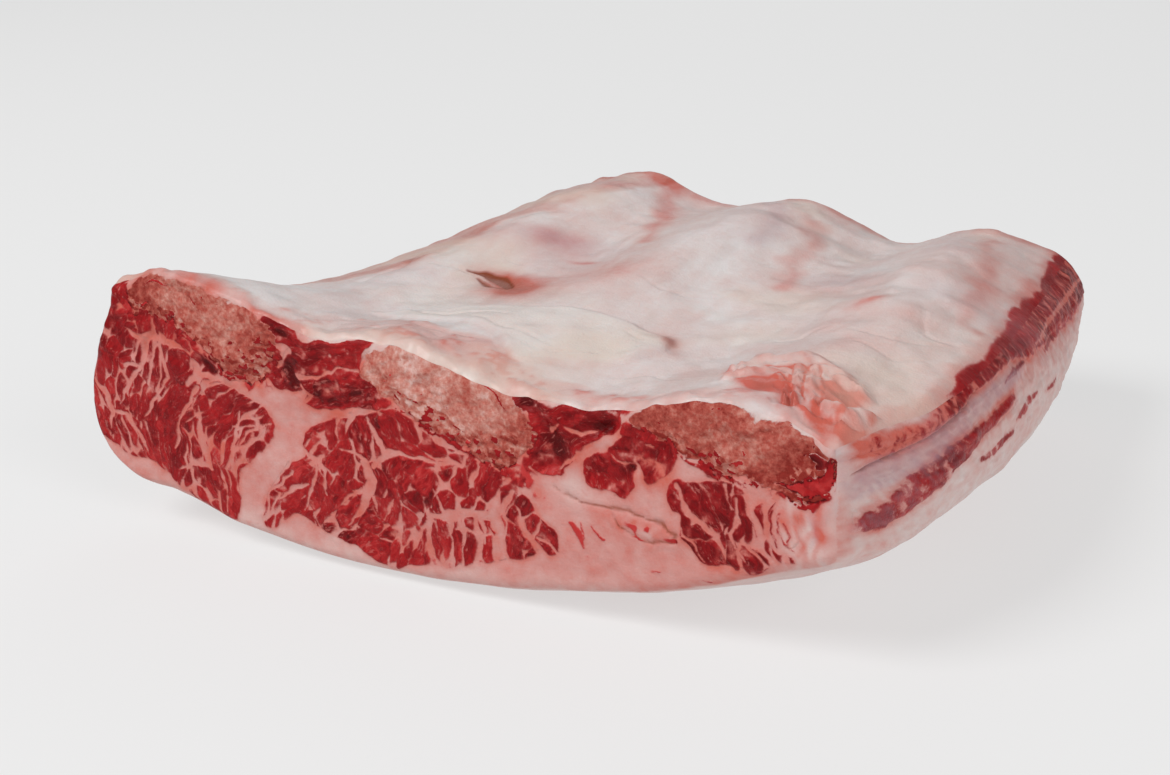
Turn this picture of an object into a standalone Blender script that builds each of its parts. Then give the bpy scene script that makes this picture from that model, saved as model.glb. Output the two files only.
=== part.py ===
"""A slab of raw beef short ribs: three rib bones in one piece of marbled meat, lying on its fat side.

The slab is drawn in its own grid. s runs from the left side (0) to the right side (1), t from the
underside (0) to the top (1), and y along the ribs from the front cut (0) to the back cut (DEPTH).
slab_point() turns such a place into millimetres, so every muscle, bone and layer that is outlined on
the front cut runs through the slab with it, narrows towards the back and stays inside the fat.
"""

import math
from functools import lru_cache

import bmesh
import bpy
import numpy as np
from mathutils import Matrix, Vector

MM = 0.001
GAP = 0.3  # clearance between pieces that touch

# ---- the slab, in millimetres -------------------------------------------------------------------
DEPTH = 222.0  # along the ribs, cut to cut
MEMBRANE = 1.6  # the smooth layer over the rib side
SIDE_SHIFT = 57.0  # brings the middle of the plan to x = 0
DRIFT = -0.055  # the ribs lean a little to the left towards the back

# Sizes that change along the ribs are given at these shares of the depth
PLACES = (0.0, 0.2, 0.45, 0.75, 1.0)

# Left and right side: x of the upper and of the lower edge, and how far the side swells out
LEFT_TOP = (-178.2, -164.0, -143.8, -132.2, -121.0)
LEFT_LOW = (-183.3, -160.3, -137.0, -122.0, -112.0)
LEFT_SWELL = (-8.4, -8.0, -8.0, -8.0, -8.0)
RIGHT_TOP = (49.8, 64.6, 66.8, 64.0, 60.9)
RIGHT_LOW = (51.9, 62.5, 64.8, 61.7, 53.0)
RIGHT_SWELL = (0.1, 5.3, 9.5, 12.0, 12.4)

# Top: its height at the left, in the middle and at the right, and the ridge that each rib raises
TOP_LEFT = (72.6, 61.4, 60.5, 64.7, 67.7)
TOP_MIDDLE = (65.8, 65.8, 66.0, 66.0, 60.7)
TOP_RIGHT = (66.5, 65.6, 65.6, 61.3, 60.3)
RIDGES = (  # rises, then place across and half width at the front cut, then the same at the back cut
    ((15.0, 7.4, 8.1, 9.5, 9.8), (0.129, 0.151), (0.140, 0.119)),
    ((8.1, 5.0, 6.0, 9.0, 9.8), (0.426, 0.121), (0.472, 0.124)),
    ((9.2, 5.9, 7.0, 8.9, 7.4), (0.863, 0.106), (0.844, 0.114)),
)

# Underside: flat on the table in the middle, curled up towards every edge
BELLY_LIFT = (2.2, -1.8, -0.4, -0.4, 7.3)  # below zero means that it rests on the table there
BELLY_LEFT = (-88.0, -118.0, -118.0, -118.0, -118.0)
BELLY_RIGHT = (-88.0, -13.0, -12.0, -12.0, -12.0)
CURL_LEFT = (445.0, 110.0, 110.0, 110.0, 110.0)  # the larger, the flatter
CURL_RIGHT = (600.0, 210.0, 278.0, 349.0, 282.0)
FOOT = (-3.5, -172.0, 12.8, 0.25)  # a low spot at the left of the front cut: depth, x, width, reach

# Steps of the mesh
STATIONS = tuple(np.linspace(0.0, 1.0, 13))
DEEP_STATIONS = STATIONS[::2]  # for what lies well inside
TOP_STEPS, SIDE_STEPS, BELLY_STEPS = 36, 7, 18


@lru_cache(maxsize=None)
def along(sizes, share):
    """A size that is given at PLACES, at this share of the depth."""
    at, sizes = np.array(PLACES), np.array(sizes)
    slopes = np.gradient(sizes, at)
    i = min(max(int(np.searchsorted(at, share, "right")) - 1, 0), len(at) - 2)
    span = at[i + 1] - at[i]
    u = (share - at[i]) / span
    return float(
        (1 + 2 * u) * (1 - u) ** 2 * sizes[i] + u * (1 - u) ** 2 * span * slopes[i]
        + u * u * (3 - 2 * u) * sizes[i + 1] + u * u * (u - 1) * span * slopes[i + 1]
    )


def left_x(t, share):
    low, high = along(LEFT_LOW, share), along(LEFT_TOP, share)
    return low + (high - low) * t + along(LEFT_SWELL, share) * 6.75 * t * (1.0 - t) ** 2


def right_x(t, share):
    low, high = along(RIGHT_LOW, share), along(RIGHT_TOP, share)
    return low + (high - low) * t + along(RIGHT_SWELL, share) * 4.0 * t * (1.0 - t)


def top_height(s, share):
    left, middle, right = (along(sizes, share) for sizes in (TOP_LEFT, TOP_MIDDLE, TOP_RIGHT))
    height = left * (1.0 - s) * (1.0 - 2.0 * s) + middle * 4.0 * s * (1.0 - s) + right * s * (2.0 * s - 1.0)
    for rises, front, back in RIDGES:
        place, width = (a + (b - a) * share for a, b in zip(front, back))
        height += along(rises, share) * math.exp(-(((s - place) / width) ** 2))
    return height


def belly_height(x, share):
    height = max(along(BELLY_LIFT, share), 0.0)
    height += max(along(BELLY_LEFT, share) - x, 0.0) ** 2 / along(CURL_LEFT, share)
    height += max(x - along(BELLY_RIGHT, share), 0.0) ** 2 / along(CURL_RIGHT, share)
    depth, middle, width, reach = FOOT
    return height + depth * math.exp(-(((x - middle) / width) ** 2) - (share / reach) ** 2)


def slab_point(s, t, share, sink=0.0):
    """Millimetres for a place in the slab. sink lowers the top, for what lies under the membrane."""
    s = s + DRIFT * share * 4.0 * s * (1.0 - s)
    low = belly_height(left_x(0.0, share) * (1.0 - s) + right_x(0.0, share) * s, share)
    high = top_height(s, share) - sink
    x = left_x(t, share) * (1.0 - s) + right_x(t, share) * s
    return Vector((x, share * DEPTH, low + (high - low) * t))


def grid_place(x, z):
    """The (s, t) of a point of the front cut that is given in millimetres."""
    s, t = 0.5, 0.5
    for _ in range(40):
        left, right = left_x(t, 0.0), right_x(t, 0.0)
        s = (x - left) / (right - left)
        low = slab_point(s, 0.0, 0.0)[2]
        t = (z - low) / (top_height(s, 0.0) - MEMBRANE - GAP - low)
    return s, t


# ---- what is outlined on the front cut, in millimetres from the slab's own zero --------------------
def oval(middle, half_width, half_height, tilt, square=2.5, points=16):
    """A rib's section: a flattened oval with blunt ends, tilted by tilt degrees."""
    turn = math.radians(tilt)
    found = []
    for i in range(points):
        angle = 2.0 * math.pi * (i + 0.5) / points
        u = half_width * math.copysign(abs(math.cos(angle)) ** (2.0 / square), math.cos(angle))
        w = half_height * math.copysign(abs(math.sin(angle)) ** (2.0 / square), math.sin(angle))
        found.append((
            middle[0] + u * math.cos(turn) - w * math.sin(turn),
            middle[1] + u * math.sin(turn) + w * math.cos(turn),
        ))
    return found


def rounded(corners, points):
    """A closed smooth outline through a few corners, with its points evenly spaced."""
    corners = np.array(corners, float)
    count, dense = len(corners), []
    for i in range(count):
        before, here, after, then = (corners[(i + k) % count] for k in (-1, 0, 1, 2))
        for u in np.linspace(0.0, 1.0, 12, endpoint=False):
            dense.append(0.5 * (
                2.0 * here + (after - before) * u
                + (2.0 * before - 5.0 * here + 4.0 * after - then) * u * u
                + (3.0 * here - 3.0 * after + then - before) * u ** 3
            ))
    dense = np.array(dense)
    run = np.r_[0.0, np.cumsum(np.linalg.norm(np.roll(dense, -1, 0) - dense, axis=1))]
    at = np.linspace(0.0, run[-1], points, endpoint=False)
    closed = np.vstack([dense, dense[:1]])
    return list(zip(np.interp(at, run, closed[:, 0]), np.interp(at, run, closed[:, 1])))


BONES = {
    "rib_bone_1": oval((-145.0, 67.8), 27.0, 9.3, -18.0),
    "rib_bone_2": oval((-63.0, 57.5), 27.5, 9.6, -20.0),
    "rib_bone_3": oval((21.5, 58.6), 25.5, 7.6, -12.0),
}
# Outlines run anticlockwise. The left one goes past the side of the slab.
MUSCLES = {
    "muscle_left": [
        (-195.5, 34.0), (-187.0, 29.0), (-168.0, 22.0), (-150.0, 15.0), (-138.5, 11.5), (-135.5, 24.0),
        (-127.0, 35.0), (-121.5, 43.0), (-128.0, 48.0), (-141.0, 53.0), (-157.0, 58.5), (-172.0, 65.0),
        (-185.0, 70.0), (-194.0, 71.0), (-196.0, 52.0),
    ],
    "muscle_middle": [
        (-124.0, 10.0), (-112.0, 13.0), (-100.0, 10.0), (-84.0, 6.5), (-66.0, 9.5), (-50.0, 13.0),
        (-38.0, 18.5), (-29.0, 22.5), (-31.0, 30.0), (-41.0, 35.5), (-52.0, 38.5), (-67.0, 42.5),
        (-82.0, 46.5), (-101.0, 47.0), (-109.0, 39.0), (-118.0, 28.0), (-125.0, 18.0),
    ],
    "muscle_right": [
        (12.0, 31.0), (18.0, 28.5), (26.0, 28.0), (31.5, 31.0), (29.0, 38.0), (25.5, 46.0), (17.0, 47.5),
        (8.5, 47.0), (7.0, 42.0), (9.5, 36.5),
    ],
    "muscle_strip": [(35.5, 47.0), (36.0, 42.0), (38.0, 36.5), (41.0, 38.0), (41.5, 42.0), (40.5, 47.0)],
    "intercostal_1": [
        (-114.5, 55.0), (-104.0, 50.5), (-93.0, 50.5), (-94.0, 57.0), (-96.0, 62.0), (-97.0, 67.0),
        (-105.0, 68.5), (-111.5, 68.0), (-115.5, 62.0),
    ],
    "intercostal_2": [
        (-30.5, 44.0), (-20.0, 41.0), (-9.0, 42.0), (-5.0, 48.5), (-10.5, 55.0), (-11.5, 61.5),
        (-20.0, 60.5), (-31.0, 58.0), (-33.0, 50.0),
    ],
}
OUTLINE_POINTS = {
    "muscle_left": 26, "muscle_middle": 28, "muscle_right": 16, "muscle_strip": 10, "intercostal_1": 16,
    "intercostal_2": 16,
}

# Two flat muscles that lie in the right side: how deep they go (share of the width), their lower and
# upper edges (shares of the height, at PLACES) and where along the ribs they begin and end
SIDE_MUSCLES = {
    "intercostal_right": (0.022, (0.86, 0.885, 0.865, 0.845, 0.76), (1.05,) * 5, 0.0, 1.0),
    "flank_band": (0.016, (0.20, 0.55, 0.70, 0.70, 0.70), (0.38, 0.71, 0.76, 0.76, 0.76), 0.025, 0.43),
}

COLOURS = {  # base colour and roughness
    "fat": ((0.83, 0.60, 0.54), 0.42),
    "membrane": ((0.84, 0.76, 0.73), 0.35),
    "bone": ((0.66, 0.38, 0.34), 0.60),
    "muscle": ((0.42, 0.03, 0.035), 0.35),
}


# ---- making meshes ----------------------------------------------------------------------------------
def material(kind):
    made = bpy.data.materials.get(kind)
    if made is None:
        made = bpy.data.materials.new(kind)
        made.use_nodes = True
        shader = made.node_tree.nodes["Principled BSDF"]
        colour, roughness = COLOURS[kind]
        shader.inputs["Base Color"].default_value = (*colour, 1.0)
        shader.inputs["Roughness"].default_value = roughness
        shader.inputs["Metallic"].default_value = 0.0
    return made


def new_object(name, mesh, kind):
    made = bpy.data.objects.new(name, mesh)
    bpy.context.scene.collection.objects.link(made)
    mesh.materials.clear()
    mesh.materials.append(material(kind))
    return made


def add_quad(work, a, b, c, d):
    """Two triangles along the shorter diagonal, so that layers that lie on each other fold alike."""
    lean = 1e-4 if a.co.x < b.co.x else -1e-4
    if (a.co - c.co).length < (b.co - d.co).length + lean:
        corners = ((a, b, c), (a, c, d))
    else:
        corners = ((a, b, d), (b, c, d))
    for three in corners:
        work.faces.new(three)


def solid(name, loops, kind):
    """A closed solid through rings that all have the same number of points, capped at both ends."""
    work = bmesh.new()
    rings = [[work.verts.new(point) for point in loop] for loop in loops]
    count = len(rings[0])
    for near, far in zip(rings, rings[1:]):
        for i in range(count):
            k = (i + 1) % count
            add_quad(work, near[i], near[k], far[k], far[i])
    caps = [work.faces.new(rings[0][::-1]), work.faces.new(rings[-1])]
    work.normal_update()
    bmesh.ops.triangulate(work, faces=caps)
    bmesh.ops.recalc_face_normals(work, faces=work.faces)
    return mesh_object(name, work, kind)


def mesh_object(name, work, kind):
    """The bmesh, in millimetres, as an object in metres whose middle is over x = y = 0."""
    shift = Matrix.Translation(Vector((SIDE_SHIFT, -DEPTH / 2.0, 0.0)))
    bmesh.ops.transform(work, matrix=Matrix.Scale(MM, 4) @ shift, verts=work.verts)
    mesh = bpy.data.meshes.new(name)
    work.to_mesh(mesh)
    work.free()
    return new_object(name, mesh, kind)


def body_ring(share):
    """The slab's outline under the membrane, anticlockwise from its lower left corner."""
    sink = MEMBRANE + GAP
    ring = [slab_point(s, 0.0, share) for s in np.linspace(0, 1, BELLY_STEPS, endpoint=False)]
    ring += [slab_point(1.0, t, share, sink) for t in np.linspace(0, 1, SIDE_STEPS, endpoint=False)]
    ring += [slab_point(s, 1.0, share, sink) for s in np.linspace(1, 0, TOP_STEPS, endpoint=False)]
    ring += [slab_point(0.0, t, share, sink) for t in np.linspace(1, 0, SIDE_STEPS, endpoint=False)]
    return ring


def shrunk(outline, by):
    """The outline moved inwards."""
    points = np.array(outline)
    run = np.roll(points, -1, 0) - np.roll(points, 1, 0)
    run /= np.linalg.norm(run, axis=1)[:, None]
    return points + np.column_stack([-run[:, 1], run[:, 0]]) * by


def inlay(name, outline, kind, stations, by=0.0, over=0.0):
    """What the outline sweeps through the slab, from cut to cut or a little past both cuts."""
    places = [grid_place(x, z) for x, z in shrunk(outline, by)]
    loops = []
    for share in stations:
        loops.append([slab_point(s, t, share, MEMBRANE + GAP) for s, t in places])
    if over:
        past = Vector((0.0, over, 0.0))
        loops = [[p - past for p in loops[0]]] + loops + [[p + past for p in loops[-1]]]
    return solid(name, loops, kind)


def side_inlay(name, sizes, by=0.0, over=0.0):
    """A band in the right side, that goes a little past the side."""
    inner, lower, upper, start, end = sizes
    loops = []
    for share in np.linspace(start, end, 15 if end == 1.0 else 8):
        width = right_x(0.5, share) - left_x(0.5, share)
        height = top_height(1.0, share) - slab_point(1.0, 0.0, share)[2]
        s = 1.0 - inner + by / width
        low, high = along(lower, share) + by / height, along(upper, share) - by / height
        places = ((s, low), (1.04, low), (1.04, high), (s, high))
        loops.append([slab_point(u, t, share, MEMBRANE + GAP) for u, t in places])
    closed_in = 0.0 if end == 1.0 else by  # a band that ends inside is shorter by the clearance too
    past = Vector((0.0, over - closed_in, 0.0))
    loops[0] = [p - past for p in loops[0]]
    loops[-1] = [p + past for p in loops[-1]]
    return solid(name, loops, "muscle")


def apply_boolean(target, operation, others):
    for other in others:
        cut = target.modifiers.new("cut", "BOOLEAN")
        cut.operation = operation
        cut.solver = "EXACT"
        cut.object = other
    shown = target.evaluated_get(bpy.context.evaluated_depsgraph_get())
    target.data = bpy.data.meshes.new_from_object(shown)
    target.modifiers.clear()


def remove(objects):
    for gone in objects:
        bpy.data.objects.remove(gone)


def build_inside():
    """The fat with its tunnels, and the bones and muscles that lie in them."""
    fat = solid("fat_body", [body_ring(share) for share in STATIONS], "fat")
    whole = fat.data.copy()
    over = 4.0
    tunnels = []
    for name, outline in BONES.items():
        inlay(name, outline, "bone", STATIONS, GAP)
        tunnels.append(inlay("tunnel", outline, "bone", STATIONS, 0.0, over))
    for name, corners in MUSCLES.items():
        outline = rounded(corners, OUTLINE_POINTS[name])
        opens_at_side = name == "muscle_left"
        stations = STATIONS if opens_at_side else DEEP_STATIONS
        tunnels.append(inlay("tunnel", outline, "muscle", stations, 0.0, over))
        if opens_at_side:
            core = inlay("core", outline, "muscle", stations, GAP, over)
            apply_boolean(new_object(name, whole.copy(), "muscle"), "INTERSECT", [core])
            remove([core])
        else:
            inlay(name, outline, "muscle", stations, GAP)
    for name, sizes in SIDE_MUSCLES.items():
        through = over if sizes[-1] == 1.0 else 0.0
        tunnels.append(side_inlay("tunnel", sizes, 0.0, through))
        core = side_inlay("core", sizes, GAP, through)
        apply_boolean(new_object(name, whole.copy(), "muscle"), "INTERSECT", [core])
        remove([core])
    apply_boolean(fat, "DIFFERENCE", tunnels)
    remove(tunnels)


# The crumpled lump of fat at the front right corner of the membrane, and the dent in the membrane
LUMP_MIDDLE = (29.0, 31.0)
LUMP_HALF = (21.0, 16.0)  # half its width and depth
LUMP_HEIGHT = 8.5
LUMP_FOLDS = (  # middle of each fold from the middle of the lump, and half its width and depth
    (-9.0, -4.5, 7.5, 5.5), (11.0, -3.5, 6.5, 8.0), (1.0, 7.0, 11.0, 4.5), (1.5, -9.0, 6.0, 4.0),
)
LUMP_RINGS, LUMP_SPOKES = 7, 26
DENT_MIDDLE = (-87.0, 76.0)
DENT_HALF = (15.0, 4.5, 1.4)  # half its length, width and depth
DENT_TURN = -42.0  # degrees in plan


def top_at(x, y):
    """The height of the membrane over a place in plan."""
    share = y / DEPTH
    s = (x - left_x(1.0, share)) / (right_x(1.0, share) - left_x(1.0, share))
    return top_height(s, share)


def build_lump():
    """Rounded folds side by side, which sink into the membrane at the rim of the lump."""
    work = bmesh.new()
    sheets = []
    for lifted in (0, 1):
        rings = []
        for ring in range(LUMP_RINGS + 1):
            out = ring / LUMP_RINGS
            circle = []
            for i in range(LUMP_SPOKES if ring else 1):
                angle = 2.0 * math.pi * i / LUMP_SPOKES
                reach = 1.0 + 0.10 * math.cos(3.0 * angle + 1.0) + 0.06 * math.sin(5.0 * angle)
                dx = LUMP_HALF[0] * reach * out * math.cos(angle)
                dy = LUMP_HALF[1] * reach * out * math.sin(angle)
                fold = max(
                    math.exp(-(((dx - a) / w) ** 2 + ((dy - b) / h) ** 2)) for a, b, w, h in LUMP_FOLDS
                )
                rise = (1.0 - out ** 3.0) ** 0.6 * (0.35 + 0.65 * fold) * LUMP_HEIGHT
                x, y = LUMP_MIDDLE[0] + dx, LUMP_MIDDLE[1] + dy
                circle.append(work.verts.new((x, y, top_at(x, y) - 1.1 + lifted * (rise + 0.7))))
            rings.append(circle)
        for i in range(LUMP_SPOKES):
            k = (i + 1) % LUMP_SPOKES
            work.faces.new((rings[0][0], rings[1][i], rings[1][k]))
            for near, far in zip(rings[1:], rings[2:]):
                work.faces.new((near[i], far[i], far[k], near[k]))
        sheets.append(rings[-1])
    for i in range(LUMP_SPOKES):
        k = (i + 1) % LUMP_SPOKES
        work.faces.new((sheets[0][i], sheets[0][k], sheets[1][k], sheets[1][i]))
    bmesh.ops.recalc_face_normals(work, faces=work.faces)
    return mesh_object("lump", work, "membrane")


def build_dent():
    work = bmesh.new()
    bmesh.ops.create_uvsphere(work, u_segments=16, v_segments=10, radius=1.0)
    x, y = DENT_MIDDLE
    place = Matrix.Translation(Vector((x, y, top_at(x, y) + 0.3)))
    half = Matrix.Diagonal(Vector((*DENT_HALF, 1.0)))
    turned = place @ Matrix.Rotation(math.radians(DENT_TURN), 4, "Z") @ half
    bmesh.ops.transform(work, matrix=turned, verts=work.verts)
    return mesh_object("dent", work, "membrane")


def build_membrane():
    """The smooth layer over the ribs, one sheet from edge to edge, with its lump and its dent."""
    steps = np.linspace(0.0, 1.0, TOP_STEPS + 1)
    loops = []
    for share in STATIONS:
        under = [slab_point(s, 1.0, share, MEMBRANE) for s in steps]
        loops.append(under + [slab_point(s, 1.0, share) for s in steps[::-1]])
    layer = solid("membrane", loops, "membrane")
    lump, dent = build_lump(), build_dent()
    apply_boolean(layer, "UNION", [lump])
    apply_boolean(layer, "DIFFERENCE", [dent])
    remove([lump, dent])


def shade(made):
    made.data.shade_smooth()
    made.data.set_sharp_from_angle(angle=math.radians(40.0))


def main():
    for old in list(bpy.data.objects):
        bpy.data.objects.remove(old)
    build_inside()
    build_membrane()
    for made in bpy.data.objects:
        shade(made)


main()
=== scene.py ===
"""A slab of raw beef short ribs: sawn rib ends, marbled lean between seams of fat, a moist membrane on top.

Sizes are in millimetres in the slab's own grid, as the solids were drawn: x runs to the right, z up and y
along the ribs from the front cut. s, t and share give a place across, up and along the slab from 0 to 1.
What a surface shows is worked out at each of its points: how deep it lies in the lean or the bone, in mm,
and how dark, pink, stained or cold it looks. Some of the dark, the stain and the pink is shade painted into
hollows, pockets, creases and folds, and a few pale places are painted highlights. Calls of noise, rough,
wave, cells and loose end with a seed.
"""

import math
from types import SimpleNamespace

import bpy
import numpy as np
from mathutils import Matrix, Vector
from mathutils.geometry import delaunay_2d_cdt


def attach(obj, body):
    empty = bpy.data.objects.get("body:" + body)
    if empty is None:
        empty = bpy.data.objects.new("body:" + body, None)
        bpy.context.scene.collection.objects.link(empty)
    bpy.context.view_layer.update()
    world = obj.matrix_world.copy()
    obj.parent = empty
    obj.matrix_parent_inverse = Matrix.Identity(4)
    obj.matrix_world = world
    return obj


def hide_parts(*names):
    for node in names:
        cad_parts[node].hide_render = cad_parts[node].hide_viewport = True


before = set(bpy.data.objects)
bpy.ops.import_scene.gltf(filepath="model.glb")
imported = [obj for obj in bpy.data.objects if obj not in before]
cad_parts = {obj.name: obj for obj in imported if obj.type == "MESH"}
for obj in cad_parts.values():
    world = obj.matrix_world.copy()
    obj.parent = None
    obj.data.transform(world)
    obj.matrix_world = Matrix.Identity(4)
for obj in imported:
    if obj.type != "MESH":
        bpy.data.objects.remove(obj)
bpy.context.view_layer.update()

MM = 0.001
DEPTH = 222.0  # from the front cut to the back cut
FRONT_WIDTH, FRONT_HEIGHT = 230.0, 70.0  # about how wide and high the cuts are
MEMBRANE = 1.6  # how thick the membrane is
SIDE_SHIFT = 57.0  # from the grid's x to the frame's
DRIFT = -0.055  # how far the middle of the slab drifts left towards the back, as a share of its width
# The slab's left and right sides, its top and its underside, each at these shares of the depth
PLACES = (0.0, 0.2, 0.45, 0.75, 1.0)
LEFT_TOP = (-178.2, -164.0, -143.8, -132.2, -121.0)
LEFT_LOW = (-183.3, -160.3, -137.0, -122.0, -112.0)
LEFT_SWELL = (-8.4, -8.0, -8.0, -8.0, -8.0)
RIGHT_TOP = (49.8, 64.6, 66.8, 64.0, 60.9)
RIGHT_LOW = (51.9, 62.5, 64.8, 61.7, 53.0)
RIGHT_SWELL = (0.1, 5.3, 9.5, 12.0, 12.4)
TOP_LEFT = (72.6, 61.4, 60.5, 64.7, 67.7)
TOP_MIDDLE = (65.8, 65.8, 66.0, 66.0, 60.7)
TOP_RIGHT = (66.5, 65.6, 65.6, 61.3, 60.3)
RIDGES = (  # how high each ridge rises, then its place and width at the front and at the back
    ((15.0, 7.4, 8.1, 9.5, 9.8), (0.129, 0.151), (0.140, 0.119)),
    ((8.1, 5.0, 6.0, 9.0, 9.8), (0.426, 0.121), (0.472, 0.124)),
    ((9.2, 5.9, 7.0, 8.9, 7.4), (0.863, 0.106), (0.844, 0.114)),
)
# The underside: how high it lies, the x beyond which it curls up at the left and right, and how gently
BELLY_LIFT = (2.2, -1.8, -0.4, -0.4, 7.3)
BELLY_LEFT = (-88.0, -118.0, -118.0, -118.0, -118.0)
BELLY_RIGHT = (-88.0, -13.0, -12.0, -12.0, -12.0)
CURL_LEFT = (445.0, 110.0, 110.0, 110.0, 110.0)
CURL_RIGHT = (600.0, 210.0, 278.0, 349.0, 282.0)
FOOT = (-3.5, -172.0, 12.8, 0.25)  # the left foot: how low it hangs, its middle, width and reach
EDGE_ROUND = 4.2  # radius of the softened edges at the cuts
LONG_ROUND = 5.0  # and of the edges along the ribs
BACK_VALLEY = (-2.6, (8, 208), (12.0, 55.0))  # the dip at the back between the last two ridges


# ---- numbers that vary over a surface ---------------------------------------------------------------
def smooth(low, high, x):
    """0 at low, 1 at high, with a smooth rise between. low may be the greater of the two."""
    u = np.clip((x - low) / (high - low), 0.0, 1.0)
    return u * u * (3.0 - 2.0 * u)


def scatter(i, j, seed):
    """An even random number from 0 to 1 for each pair of whole numbers. The large odd factors only mix
    the digits."""
    mixed = (i * 374761393 + j * 668265263 + seed * 974634777) & 0xFFFFFFFF
    mixed = ((mixed ^ (mixed >> 13)) * 1274126177) & 0xFFFFFFFF
    return ((mixed ^ (mixed >> 16)) & 0xFFFF) / 65535.0


def noise(x, y, size, seed):
    """Soft random hills from -1 to 1, about size apart."""
    x, y = x / size, y / size
    i, j = np.floor(x).astype(np.int64), np.floor(y).astype(np.int64)
    u, v = smooth(0.0, 1.0, x - i), smooth(0.0, 1.0, y - j)
    corner = [[scatter(i + a, j + b, seed) for b in (0, 1)] for a in (0, 1)]
    low = corner[0][0] * (1 - u) + corner[1][0] * u
    high = corner[0][1] * (1 - u) + corner[1][1] * u
    return 2.0 * (low * (1 - v) + high * v) - 1.0


def rough(x, y, size, seed):
    """Noise with finer noise on it."""
    return sum(noise(x, y, size / 2 ** k, seed + 7 * k) / 2 ** k for k in range(3)) / 1.6


def wave(x, size, seed):
    """Noise along a line."""
    return noise(x, 0.0 * x, size, seed)


CORNER = 0.60  # how round the grains' corners are
END_GAP = 0.34  # how much closer the grains lie end to end than side by side


def cells(x, y, angle, long, wide, seed):
    """Grains packed side by side, long and wide in size: how far the grain's edge is, its own random
    number, and the place along and across it."""
    turn = math.radians(angle)
    u = (x * math.cos(turn) + y * math.sin(turn)) / long
    v = (-x * math.sin(turn) + y * math.cos(turn)) / wide
    i, j = np.floor(u).astype(np.int64), np.floor(v).astype(np.int64)
    near = []
    for a in range(-2, 3):
        for b in range(-2, 3):
            p = i + a + 0.12 + 0.76 * scatter(i + a, j + b, seed)
            q = j + b + 0.12 + 0.76 * scatter(i + a, j + b, seed + 1)
            near.append((p, q, scatter(i + a, j + b, seed + 2)))
    p, q, own = (np.array(c) for c in zip(*near))
    first = np.argmin((p - u) ** 2 + (q - v) ** 2, axis=0)[None]
    p0, q0, mine = (np.take_along_axis(c, first, 0)[0] for c in (p, q, own))
    apart = np.hypot(p - p0, q - q0) + 1e-9
    n, m = (p - p0) / apart, (q - q0) / apart
    edge = ((p + p0) / 2 - u) * n + ((q + q0) / 2 - v) * m
    steep = np.sqrt((n / long) ** 2 + (m / wide) ** 2) + 1e-9
    edge = edge / steep + END_GAP * (n / long / steep) ** 2
    edge[apart < 1e-6] = 1e9
    edge = -CORNER * np.log(np.exp(-np.minimum(edge, 60.0) / CORNER).sum(axis=0) + 1e-12)
    return edge, mine, (u - p0) * long, (v - q0) * wide


def strokes(x, y, many):
    """How deep inside the strokes each place lies, in mm. A stroke's points hold x, y and its width there."""
    deep = np.full(x.shape, -1e9)
    for one in many:
        for (ax, ay, aw), (bx, by, bw) in zip(one, one[1:]):
            dx, dy = bx - ax, by - ay
            u = np.clip(((x - ax) * dx + (y - ay) * dy) / (dx * dx + dy * dy), 0.0, 1.0)
            far = np.hypot(x - ax - u * dx, y - ay - u * dy)
            deep = np.maximum(deep, (aw + (bw - aw) * u) / 2 - far)
    return deep


def spot(x, y, middle, half, turn=0.0):
    """A soft oval spot: 1 in its middle, 0 well outside."""
    c, s = math.cos(math.radians(turn)), math.sin(math.radians(turn))
    dx, dy = x - middle[0], y - middle[1]
    return np.exp(-((dx * c + dy * s) / half[0]) ** 2 - ((dy * c - dx * s) / half[1]) ** 2)


def spots(x, y, many):
    """The sum of soft spots that are given as strength, middle, half width and height, and turn."""
    return sum(strength * spot(x, y, *place) for strength, *place in many)


def rounded(corners, steps=6):
    """A closed smooth line through its corners."""
    corners = np.array(corners, float)
    count, dense = len(corners), []
    for i in range(count):
        before, here, after, then = (corners[(i + k) % count] for k in (-1, 0, 1, 2))
        for u in np.linspace(0.0, 1.0, steps, endpoint=False):
            dense.append(0.5 * (
                2.0 * here + (after - before) * u
                + (2.0 * before - 5.0 * here + 4.0 * after - then) * u * u
                + (3.0 * here - 3.0 * after + then - before) * u ** 3
            ))
    return np.array(dense)


def evenly(line, spacing):
    """The closed line with its points evenly spaced."""
    line = np.vstack([line, line[:1]])
    run = np.r_[0.0, np.cumsum(np.linalg.norm(np.diff(line, axis=0), axis=1))]
    at = np.linspace(0.0, run[-1], max(2, round(run[-1] / spacing)), endpoint=False)
    return np.column_stack([np.interp(at, run, column) for column in line.T])


def inside(x, y, outline):
    """Signed distance to a closed outline, positive inside. It is only rough far outside."""
    low, high = outline.min(0), outline.max(0)
    off = np.hypot(np.maximum(np.maximum(low[0] - x, x - high[0]), 0.0),
                   np.maximum(np.maximum(low[1] - y, y - high[1]), 0.0))
    found = -off - 1.0
    near = off < 4.0
    px, py = x[near], y[near]
    far, within = np.full(px.shape, 1e9), np.zeros(px.shape, bool)
    for (ax, ay), (bx, by) in zip(outline, np.roll(outline, -1, 0)):
        dx, dy = bx - ax, by - ay
        u = np.clip(((px - ax) * dx + (py - ay) * dy) / (dx * dx + dy * dy + 1e-12), 0.0, 1.0)
        far = np.minimum(far, np.hypot(px - ax - u * dx, py - ay - u * dy))
        if ay != by:
            within ^= ((ay > py) != (by > py)) & (px < (bx - ax) * (py - ay) / (by - ay) + ax)
    found[near] = np.where(within, far, -far)
    return found


def deepest(x, y, outlines):
    """How deep inside any of the outlines each place lies."""
    return np.maximum.reduce([inside(x, y, rounded(outline)) for outline in outlines])


def border_gap(x, y, size):
    """How far each place of a box of this size is from the nearest side."""
    return np.minimum.reduce([x, y, size[0] - x, size[1] - y])


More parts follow.
